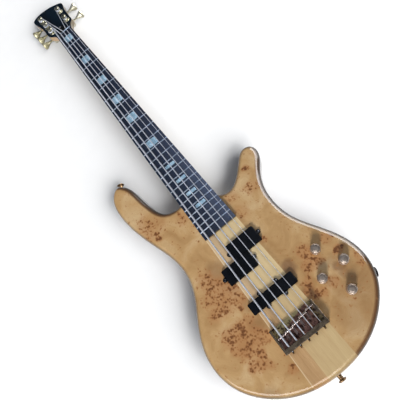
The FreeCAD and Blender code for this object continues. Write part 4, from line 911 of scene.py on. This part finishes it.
@dataclass
class Strings(SubAssembly):
    """Five wound strings from their ball ends over saddle and nut to the turns on their posts.

    Sizes are in millimetres, and a post's place is in the plane of the tilted head.
    """

    sizes: tuple[StringSize, ...] = (
        StringSize("b", 3.30, -21.0, (-24.0, 35.5), 1.25),
        StringSize("e", 2.67, -19.5, (-26.0, 68.5), 1.5),
        StringSize("a", 2.16, -17.5, (-28.5, 101.5), 1.75),
        StringSize("d", 1.65, -14.0, (24.0, 87.0), 2.25),
        StringSize("g", 1.14, -11.0, (24.5, 39.0), 2.75),
    )
    bridge_spacing: float = 17.0
    nut_spacing: float = 9.0
    nut_place: float = 866.1
    saddle_level: float = 57.2
    nut_level: float = 53.7
    board_radius: float = 400.0
    ball_place: float = -51.6
    ball_level: float = 54.9
    ball_radius: float = 2.6
    ball_half: float = 1.7
    # The ball end's turned form, as shares of its radius and half length
    ball_form: tuple[tuple[float, float], ...] = (
        (0.45, -1.0), (0.9, -1.0), (1.0, -0.7), (0.82, -0.2),
        (0.82, 0.2), (1.0, 0.7), (0.9, 1.0), (0.45, 1.0),
    )
    ball_sides: int = 24
    ball_bevel: float = 0.15
    head_place: tuple[float, float] = (868.6, 45.0)
    head_tilt: float = 8.0
    post_radius: float = 4.8
    post_level: float = 5.9
    turn_gap: float = 0.5
    steps: int = 10
    roundness: int = 3

    def head(self) -> Matrix:
        """Places the head's plane in the instrument's frame.

        Returns:
            The place.
        """
        along, up = self.head_place
        tilt = Matrix.Rotation(math.radians(-self.head_tilt), 4, "X")
        return Matrix.Translation((0.0, mm(along), mm(up))) @ tilt

    def crossing(self, number: int, spacing: float, along: float, level: float) -> Vector:
        """Finds the middle of a string where it crosses the nut or its saddle.

        Args:
            number: The string, counted from the lowest.
            spacing: The spacing of the strings there.
            along: The place along the instrument.
            level: The height of the strings' undersides on the centre line.

        Returns:
            The point, in metres.
        """
        across = (number - (len(self.sizes) - 1) / 2) * spacing
        fall = self.board_radius - math.sqrt(self.board_radius ** 2 - across ** 2)
        height = level - fall + self.sizes[number].diameter / 2
        return Vector((mm(across), mm(along), mm(height)))

    def turns(self, number: int, nut: Vector) -> list[tuple[Vector, Vector]]:
        """Winds a string on its post, a quarter turn at a time.

        Args:
            number: The string.
            nut: Where the string leaves the nut.

        Returns:
            Points on the turns with the way the string runs there, its length that of a quarter's handle.
        """
        size = self.sizes[number]
        arrive = self.head().inverted() @ nut
        post = Vector((mm(size.post[0]), mm(size.post[1]), 0.0))
        radius = mm(self.post_radius + size.diameter / 2)
        hand = 1 if post.x < 0 else -1
        ahead = Vector((post.x - arrive.x, post.y - arrive.y))
        heading = math.atan2(ahead.y, ahead.x) - hand * math.asin(radius / ahead.length)
        climb = mm(size.diameter + self.turn_gap) / 4
        handle = radius * 4 / 3 * math.tan(math.pi / 8)
        points = []
        for quarter in range(round(size.turns * 4) + 1):
            angle = heading + hand * (quarter - 1) * math.pi / 2
            outward = Vector((math.cos(angle), math.sin(angle), 0.0))
            onward = Vector((-math.sin(angle), math.cos(angle), 0.0)) * hand * handle
            level = mm(self.post_level) + climb * quarter
            place = post + outward * radius + Vector((0.0, 0.0, level))
            way = onward + Vector((0.0, 0.0, climb / 3))
            points.append((self.head() @ place, self.head().to_3x3() @ way))
        return points

    @staticmethod
    def lay_line(
        curve: bpy.types.Curve, bends: Sequence[Vector], turns: Sequence[tuple[Vector, Vector]]
    ) -> None:
        """Lays a string's line straight from bend to bend, then round its post.

        Args:
            curve: The curve that takes the line in place of its own.
            bends: The ball end, the saddle and the nut.
            turns: Points on the turns with the way the string runs there.
        """
        curve.splines.clear()
        line = curve.splines.new("BEZIER")
        line.bezier_points.add(len(bends) + len(turns) - 1)
        for point, place in zip(line.bezier_points, bends):
            point.co = place
            point.handle_left_type = point.handle_right_type = "VECTOR"
        on_post = line.bezier_points[len(bends):]
        for point, (place, onward) in zip(on_post, turns):
            point.handle_left_type = point.handle_right_type = "FREE"
            point.co = place
            point.handle_left, point.handle_right = place - onward, place + onward
        on_post[0].handle_left_type = "VECTOR"

    def build_string(self, number: int) -> Piece:
        """Runs one string as a smooth tube and gives it its ball end.

        Args:
            number: The string, counted from the lowest.

        Returns:
            The string as one mesh.
        """
        size = self.sizes[number]
        saddle = self.crossing(number, self.bridge_spacing, size.ridge, self.saddle_level)
        nut = self.crossing(number, self.nut_spacing, self.nut_place, self.nut_level)
        ball = Vector((saddle.x, mm(self.ball_place), mm(self.ball_level)))
        clear_selection()
        bpy.ops.curve.primitive_bezier_curve_add()
        run = bpy.context.object
        self.lay_line(run.data, (ball, saddle, nut), self.turns(number, nut))
        run.data.dimensions = "3D"
        run.data.resolution_u = self.steps
        run.data.bevel_depth = mm(size.diameter / 2)
        run.data.bevel_resolution = self.roundness
        run.data.use_fill_caps = True
        pick(run)
        bpy.ops.object.convert(target="MESH")
        tube = bpy.context.object
        bpy.ops.object.shade_smooth_by_angle(angle=math.radians(SMOOTH_TUBE))
        end = self.build_ball(ball)
        self.paints.paint(tube, STRING_WINDING)
        self.paints.paint(end, DARK_BRASS)
        return join((tube, end), f"wound_string_{size.name}")

    def build_ball(self, place: Vector) -> Piece:
        """Turns a waisted ball end and lays it across the back of the bridge.

        Args:
            place: Its middle.

        Returns:
            The ball end.
        """
        rings = [(self.ball_radius * wide, self.ball_half * along) for wide, along in self.ball_form]
        ball = lathe("ball_end", rings, self.ball_sides)
        soften(ball, self.ball_bevel)
        across = Matrix.Translation(place) @ Matrix.Rotation(math.pi / 2, 4, "Y")
        laid = copy_to(ball, "ball_end_laid", across)
        bpy.data.objects.remove(ball)
        return laid

    def build(self) -> list[Piece]:
        """Builds the five strings in place of their CAD solids.

        Returns:
            The strings.
        """
        strings = []
        for number, size in enumerate(self.sizes):
            strings.append(self.build_string(number))
            stand_for(strings[-1], f"string_{size.name}", ROOT_BODY)
        return strings


class HeadShape(Enum):
    """The two kinds of screw head, as rings of radius and height from the seat in millimetres."""

    PAN = ((2.7, 0.0), (2.7, 0.75), (2.35, 1.2), (1.6, 1.5), (0.6, 1.5))
    FLAT = ((2.7, -0.05), (2.7, 0.0), (0.6, 0.0))


@dataclass
class Screws(SubAssembly):
    """Cross-headed wood screws, modelled one by one where the CAD has them."""

    shank: float = 1.4
    tip: float = 0.3
    point: float = 1.6
    sunk_cone: float = 1.3
    bevel: float = 0.12
    arm: float = 1.7
    arm_width: float = 0.55
    recess: float = 0.9
    sides: int = 32
    head_back: float = 868.6
    weld: float = 0.001
    flatness: float = 0.01

    def build_screw(self, shape: HeadShape, length: float) -> Piece:
        """Models a screw standing on its seat with its head up.

        Args:
            shape: The kind of head.
            length: From the seat to the tip, in millimetres.

        Returns:
            The screw with its cross recess.
        """
        under = 0.0 if shape is HeadShape.PAN else -self.sunk_cone
        stem = ((self.tip, -length), (self.shank, -length + self.point), (self.shank, under))
        rings = stem + shape.value
        screw = lathe("screw", rings, self.sides)
        top = shape.value[-1][1]
        for turn in (0.0, math.pi / 2):
            clear_selection()
            bpy.ops.mesh.primitive_cube_add(size=1.0)
            blade = bpy.context.object
            size = Matrix.Diagonal((mm(2 * self.arm), mm(self.arm_width), mm(2 * self.recess), 1.0))
            level = Matrix.Translation((0.0, 0.0, mm(top)))
            blade.matrix_world = Matrix.Rotation(turn, 4, "Z") @ level @ size
            cut_away(screw, blade)
        soften(screw, self.bevel)
        return screw

    def solids(self, node: str) -> list[np.ndarray]:
        """Splits a CAD node of several screws into their separate solids.

        Args:
            node: The CAD node's name.

        Returns:
            The corner points of each solid.
        """
        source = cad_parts[node]
        clear_selection()
        loose = source.copy()
        loose.data = source.data.copy()
        loose.parent = None
        bpy.context.scene.collection.objects.link(loose)
        pick(loose)
        bpy.ops.object.mode_set(mode="EDIT")
        bpy.ops.mesh.select_all(action="SELECT")
        bpy.ops.mesh.remove_doubles(threshold=mm(self.weld))
        bpy.ops.mesh.separate(type="LOOSE")
        bpy.ops.object.mode_set(mode="OBJECT")
        pieces = list(bpy.context.selected_objects)
        points = [np.array([corner.co for corner in piece.data.vertices]) for piece in pieces]
        for piece in pieces:
            bpy.data.objects.remove(piece)
        return sorted(points, key=lambda cloud: tuple(cloud.mean(axis=0)))

    def axis_of(self, cloud: np.ndarray) -> tuple[Vector, Vector, float]:
        """Finds how a screw lies from its corner points.

        Args:
            cloud: The corner points of one screw.

        Returns:
            The middle of its head's top, the way out of the head, and the length in millimetres.
        """
        middle = cloud.mean(axis=0)
        along = np.linalg.svd(cloud - middle)[2][0]
        reach = (cloud - middle) @ along
        wide = np.linalg.norm((cloud - middle) - np.outer(reach, along), axis=1)
        if reach[wide.argmax()] < 0:
            along, reach = -along, -reach
        flat = cloud[reach > reach.max() - mm(self.flatness)]
        centre = (flat.min(axis=0) + flat.max(axis=0)) / 2
        return Vector(centre), Vector(along), (reach.max() - reach.min()) * 1000

    def build(self, node: str, slot: str, finish: Finish, shape: HeadShape) -> None:
        """Replaces a node of screws by modelled ones.

        Args:
            node: The CAD node.
            slot: The record's material slot; not used.
            finish: The screws' finish.
            shape: The kind of head; screws up under the head are pan headed whatever it says.
        """
        placed = []
        for number, cloud in enumerate(self.solids(node)):
            top, out, length = self.axis_of(cloud)
            under_head = top.y > mm(self.head_back) and out.z < 0
            kind = HeadShape.PAN if under_head else shape
            head = kind.value[-1][1]
            screw = self.build_screw(kind, length - head)
            turn = out.to_track_quat("Z", "Y").to_matrix().to_4x4()
            stand = Matrix.Translation(top) @ turn @ Matrix.Translation((0.0, 0.0, -mm(head)))
            placed.append(copy_to(screw, f"{node}_{number}", stand))
            bpy.data.objects.remove(screw)
        whole = join(placed, f"cross_headed_{node}")
        stand_for(whole, node, ROOT_BODY)
        self.paints.paint(whole, finish)


@dataclass
class Controls(SubAssembly):
    """Four knobs with fine knurling and ringed tops, and the parts under them.

    A knob's profile gives radius and height in millimetres, from its shaft's lower end to its crown.
    """

    places: tuple[tuple[str, float, float], ...] = (
        ("neck_volume_knob", 109.0, 57.5),
        ("bridge_volume_knob", 84.5, 12.0),
        ("treble_knob", 134.0, 14.5),
        ("bass_knob", 110.0, -31.0),
    )
    foot: float = 45.6
    profile: tuple[tuple[float, float], ...] = (
        (3.0, -12.5), (3.0, 3.6), (8.0, 3.6), (8.0, 0.0), (9.3, 0.0), (9.5, 0.3), (9.5, 1.5), (9.1, 1.9),
        (8.95, 2.4), (9.15, 2.8), (8.75, 12.2), (8.7, 13.4), (8.35, 14.4), (7.6, 15.1), (6.9, 15.3),
        (6.3, 15.0), (5.9, 15.0), (5.5, 15.3), (3.4, 15.5), (0.4, 15.5),
    )
    sides: int = 96
    wall: float = 8.75
    knurl_low: float = 2.8
    knurl_high: float = 12.2
    knurl_depth: float = 0.16
    knurl_rim: float = 0.06
    knurl_slope: float = 0.3
    screw_level: float = 9.5
    screw_radius: float = 1.3
    screw_sunk: float = 1.1
    screw_sides: int = 6

    def build_knob(self) -> Piece:
        """Models one knob: the turned form, its knurled wall and the hole of its set screw.

        Returns:
            The knob, its foot at the origin.
        """
        knob = lathe("knob", self.profile, self.sides)
        self.knurl(knob)
        clear_selection()
        bpy.ops.mesh.primitive_cylinder_add(
            vertices=self.screw_sides, radius=mm(self.screw_radius), depth=mm(2 * self.screw_sunk))
        hole = bpy.context.object
        mouth = Matrix.Translation((0.0, -mm(self.wall), mm(self.screw_level)))
        hole.matrix_world = mouth @ Matrix.Rotation(math.pi / 2, 4, "X")
        cut_away(knob, hole)
        pick(knob)
        bpy.ops.object.shade_smooth_by_angle(angle=math.radians(SMOOTH_KNOB))
        return knob

    def knurl(self, knob: Piece) -> None:
        """Presses every second facet of the wall in a little.

        Args:
            knob: The turned knob.
        """
        low, high = mm(self.knurl_low), mm(self.knurl_high)
        step = 2 * math.pi / self.sides
        for face in knob.data.polygons:
            angle = math.atan2(face.center.y, face.center.x)
            on_wall = low < face.center.z < high and abs(face.normal.z) < self.knurl_slope
            face.select = on_wall and round(angle / step - 0.5) % 2 == 0
        for edge in knob.data.edges:
            edge.select = False
        for corner in knob.data.vertices:
            corner.select = False
        pick(knob)
        bpy.ops.object.mode_set(mode="EDIT")
        bpy.ops.mesh.select_mode(type="FACE")
        bpy.ops.mesh.inset(thickness=mm(self.knurl_rim), depth=-mm(self.knurl_depth), use_individual=True)
        bpy.ops.object.mode_set(mode="OBJECT")

    def build(self) -> list[Piece]:
        """Sets the four knobs on their shafts and dresses what is in the cavity.

        Returns:
            The knobs.
        """
        model = self.build_knob()
        knobs = []
        for name, across, along in self.places:
            stand = Matrix.Translation((mm(across), mm(along), mm(self.foot)))
            knob = copy_to(model, f"knurled_{name}", stand)
            stand_for(knob, name, name)
            self.paints.paint(knob, ROSE_NICKEL)
            knobs.append(knob)
        bpy.data.objects.remove(model)
        self.paints.dress({
            "pot_bodies": PLAIN_STEEL,
            "pot_nuts": PLAIN_STEEL,
            "control_cover": BLACK_MOULDING,
            "battery": BATTERY_PAINT,
            "preamp_board": SOLDER_MASK,
            "wiring": LEAD_SHEATH,
            "output_jack": BLACK_PLATE,
            "jack_cup": BLACK_CUP,
        })
        return knobs


@dataclass
class Pickups(SubAssembly):
    """The split and the bar pickup: moulded covers over wound bobbins."""

    covers: tuple[str, ...] = ("p_pickup_cover_bass", "p_pickup_cover_treble", "j_pickup_cover")

    def dress(self) -> None:
        """Gives the covers and bobbins their finishes."""
        self.paints.dress({cover: BLACK_MOULDING for cover in self.covers})
        self.paints.dress({"pickup_coils": COPPER_WINDING})


@dataclass
class Hardware(SubAssembly):
    """Tuners, bridge and strap buttons."""

    # Strings whose keys, on the bass side, take the copy of the plate with painted shade
    shaded: str = "bea"

    def dress(self) -> None:
        """Gives the plated parts their finishes."""
        for name in STRING_NAMES:
            self.paints.dress({
                f"tuner_key_{name}": SHADED_PLATE if name in self.shaded else GOLD_PLATE,
                f"tuner_post_{name}": WORN_PLATE,
                f"saddle_{name}": ROSE_BRONZE,
            })
        self.paints.dress({
            "tuner_housings": GOLD_PLATE,
            "tuner_bushings": WORN_PLATE,
            "bridge_frame": GREY_BRONZE,
            "intonation_screws": BRONZE_PLATE,
            "strap_buttons": BRONZE_PLATE,
        })


# The studio

class Reach(Enum):
    """What a lamp lights."""

    FILL = "everything but the floor, without being mirrored"
    FLOOR = "the floor alone"
    RIM = "reflections alone, but not in the strings and knobs"
    METAL = "reflections in the metal alone"
    STRINGS = "reflections in the strings alone"
    KNOBS = "reflections in the knobs alone"
    BOARD = "reflections in the fretboard, its frets and inlays alone"
    NUT = "the nut alone"


@dataclass(frozen=True)
class Softbox:
    """A lamp: the way to it from its target, its distance, size and power, what it lights and its colour."""

    name: str
    toward: tuple[float, float]
    elevation: float
    distance: float
    width: float
    length: float
    power: float
    reach: Reach
    tint: str = "FFFFFF"


@dataclass
class Studio:
    """A pale floor, soft lamps, a surround and the camera of the photograph.

    The key lamp stands at the foot of the picture. The floor has its own two broad lamps from the right,
    so that it is white with one soft shadow to the left of the instrument, as in the photograph.
    """

    target: tuple[float, float, float] = (0.0, 0.25, 0.04)
    boxes: tuple[Softbox, ...] = (
        Softbox("key_softbox", (-0.66, -0.75), 31.0, 6.0, 1.5, 1.5, 415.0, Reach.FILL),
        Softbox("key_glint", (-0.66, -0.75), 31.0, 6.0, 1.5, 1.5, 365.0, Reach.METAL),
        Softbox("string_glint", (0.0, 1.0), 30.0, 1.7, 0.6, 0.6, 3.4, Reach.STRINGS),
        Softbox("knob_key", (-0.66, -0.75), 31.0, 6.0, 3.0, 3.0, 320.0, Reach.KNOBS),
        Softbox("knob_glint", (0.83, -0.555), 78.0, 1.54, 0.6, 0.6, 0.14, Reach.KNOBS, "FFE8D0"),
        Softbox("overhead_fill", (-0.5, 0.86), 70.0, 1.8, 1.5, 1.5, 11.5, Reach.FILL),
        Softbox("floor_softbox", (0.65, -0.76), 30.0, 18.0, 16.0, 16.0, 5700.0, Reach.FLOOR),
        Softbox("floor_fill", (0.0, -1.0), 26.0, 18.0, 14.0, 14.0, 6300.0, Reach.FLOOR),
        Softbox("side_strip", (0.956, 0.292), 44.0, 1.5, 0.9, 1.3, 38.0, Reach.RIM),
        Softbox("side_panel", (0.956, 0.292), 13.0, 1.5, 0.7, 1.6, 14.0, Reach.RIM),
        Softbox("foot_strip", (-0.54, -0.84), 46.0, 1.6, 0.5, 1.4, 14.0, Reach.RIM),
        Softbox("window", (0.53, 0.85), 62.0, 1.6, 0.5, 0.5, 4.2, Reach.BOARD, "A6C6FF"),
        Softbox("nut_glint", (-0.0095, 1.0), 24.8, 1.536, 0.07, 0.03, 0.1, Reach.NUT, "C8E0FF"),
    )
    metal: tuple[str, ...] = (
        "bridge_frame", "frets", "strap_buttons", "tuner_housings", "tuner_bushings", "intonation_screws",
        *(f"{kind}_{name}" for kind in ("saddle", "tuner_key", "tuner_post") for name in STRING_NAMES),
    )
    board: tuple[str, ...] = ("fretboard", "frets", "fret_inlays")
    floor_size: float = 14.0
    floor_gap: float = 0.3
    floor_glow: float = 0.04
    eye: tuple[float, float, float] = (0.0362, -0.0123, 0.7644)
    forward: tuple[float, float, float] = (-0.0428, 0.3682, -0.9288)
    above: tuple[float, float, float] = (0.6376, 0.7257, 0.2584)
    lens: float = 34.65
    sensor: float = 36.0
    nearest: float = 0.01
    # Pale at the horizon, dark half-way up where the head mirrors it, bluish overhead
    sky: tuple[tuple[float, str], ...] = (
        (0.0, "BEC2BA"), (0.1, "A4A8A0"), (0.22, "4A4E56"),
        (0.62, "3C4048"), (0.88, "6E757E"), (1.0, "7A8088"),
    )

    def build_floor(self) -> Piece:
        """Lays a pale floor just under the flat back.

        Returns:
            The floor.
        """
        clear_selection()
        bpy.ops.mesh.primitive_plane_add(size=self.floor_size, location=(0.0, 0.0, -mm(self.floor_gap)))
        floor = bpy.context.object
        floor.name = "studio_floor"
        recipe = Recipe(bpy.data.materials.new("white_paper"))
        fibre = recipe.add("TexNoise", {"Detail": 3.0}, cell=40)
        tint = recipe.add("ValToRGB", {"Fac": fibre}, ((0.3, "DADADA"), (0.7, "DCDCDC")))
        paper = recipe.add("BsdfDiffuse", {"Color": tint})
        glow = recipe.add("Emission", {"Color": colour("FFFFFF"), "Strength": 1.0})
        seen: Socket | float = 0.0
        for ray in ("Is Camera Ray", "Is Glossy Ray", "Is Transmission Ray"):
            seen = recipe.add("Math", {0: seen, 1: recipe.add("LightPath", out=ray)}, operation="MAXIMUM")
        share = recipe.add("Math", {0: seen, 1: self.floor_glow}, operation="MULTIPLY")
        mixed = recipe.add("MixShader", {0: share, 1: paper, 2: glow})
        floor.data.materials.append(recipe.close(mixed))
        return floor

    def listed(
        self, floor: Piece, strings: Sequence[Piece], knobs: Sequence[Piece]
    ) -> dict[Reach, Sequence[Piece]]:
        """Lists the pieces that each kind of lamp lights alone or, for FILL and RIM, leaves out.

        Args:
            floor: The floor.
            strings: The modelled strings.
            knobs: The modelled knobs.

        Returns:
            The pieces by what the lamp lights.
        """
        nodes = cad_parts
        return {
            Reach.FILL: (floor,),
            Reach.RIM: (floor, *strings, *knobs),
            Reach.FLOOR: (floor,),
            Reach.METAL: (*strings, *(nodes[name] for name in self.metal)),
            Reach.STRINGS: strings,
            Reach.KNOBS: knobs,
            Reach.NUT: (nodes["nut"],),
            Reach.BOARD: tuple(nodes[name] for name in self.board),
        }

    def build_lamp(self, box: Softbox, pieces: Sequence[Piece]) -> None:
        """Sets one soft lamp, turned to the target.

        Args:
            box: The lamp.
            pieces: What it lights alone or leaves out.
        """
        flat = math.cos(math.radians(box.elevation))
        way = Vector((box.toward[0] * flat, box.toward[1] * flat, math.sin(math.radians(box.elevation))))
        clear_selection()
        stand = Vector(self.target) + way.normalized() * box.distance
        bpy.ops.object.light_add(type="AREA", location=stand)
        lamp = bpy.context.object
        lamp.name = box.name
        lamp.rotation_euler = way.to_track_quat("Z", "Y").to_euler()
        lamp.data.shape = "RECTANGLE"
        lamp.data.size, lamp.data.size_y = box.length, box.width
        lamp.data.energy = box.power
        lamp.data.color = colour(box.tint)[:3]
        lamp.visible_camera = False
        lamp.visible_diffuse = box.reach in (Reach.FILL, Reach.FLOOR, Reach.NUT)
        lamp.visible_glossy = box.reach is not Reach.FILL
        lit = bpy.data.collections.new(f"lit_by_{box.name}")
        for piece in pieces:
            lit.objects.link(piece)
        for member in lit.collection_objects:
            left_out = box.reach in (Reach.FILL, Reach.RIM)
            member.light_linking.link_state = "EXCLUDE" if left_out else "INCLUDE"
        lamp.light_linking.receiver_collection = lit

    def build_surround(self) -> None:
        """Lights the scene from a surround that changes with height alone."""
        bpy.context.scene.world = bpy.data.worlds.new("studio_surround")
        recipe = Recipe(bpy.context.scene.world)
        height = recipe.add("SeparateXYZ", {0: recipe.add("TexCoord", out="Generated")}, out="Z")
        tint = recipe.add("ValToRGB", {"Fac": height}, self.sky)
        recipe.close(recipe.add("Background", {"Color": tint}), "ShaderNodeOutputWorld")

    def build_camera(self) -> None:
        """Puts the camera where the photograph was taken from."""
        ahead, up = Vector(self.forward).normalized(), Vector(self.above).normalized()
        turn = Matrix((ahead.cross(up), up, -ahead)).transposed().to_4x4()
        clear_selection()
        bpy.ops.object.camera_add()
        camera = bpy.context.object
        camera.matrix_world = Matrix.Translation(self.eye) @ turn
        camera.data.lens = self.lens
        camera.data.sensor_width = self.sensor
        camera.data.sensor_fit = "HORIZONTAL"
        camera.data.clip_start = self.nearest
        bpy.context.scene.camera = camera

    def build(self, strings: Sequence[Piece], knobs: Sequence[Piece]) -> None:
        """Builds the floor, the lamps round the instrument, the surround and the camera.

        Args:
            strings: The modelled strings.
            knobs: The modelled knobs.
        """
        pieces = self.listed(self.build_floor(), strings, knobs)
        for box in self.boxes:
            self.build_lamp(box, pieces[box.reach])
        self.build_surround()
        self.build_camera()
        bpy.context.scene.view_settings.view_transform = "Standard"


def main() -> None:
    """Models and dresses the instrument piece by piece and builds the studio."""
    logging.basicConfig(level=logging.INFO, format="%(name)s: %(message)s")
    paints = Paintbox()
    Woodwork(paints).dress()
    strings = Strings(paints).build()
    Hardware(paints).dress()
    Pickups(paints).dress()
    knobs = Controls(paints).build()
    screws = Screws(paints)
    screws.build("pickup_screws", "steel", BLACK_STEEL, HeadShape.PAN)
    screws.build("bridge_screws", "gold", GREY_BRONZE, HeadShape.FLAT)
    screws.build("strap_button_screws", "gold", BRONZE_PLATE, HeadShape.FLAT)
    screws.build("small_screws", "steel", PLAIN_STEEL, HeadShape.FLAT)
    Studio().build(strings, knobs)


if __name__ == "__main__":
    main()
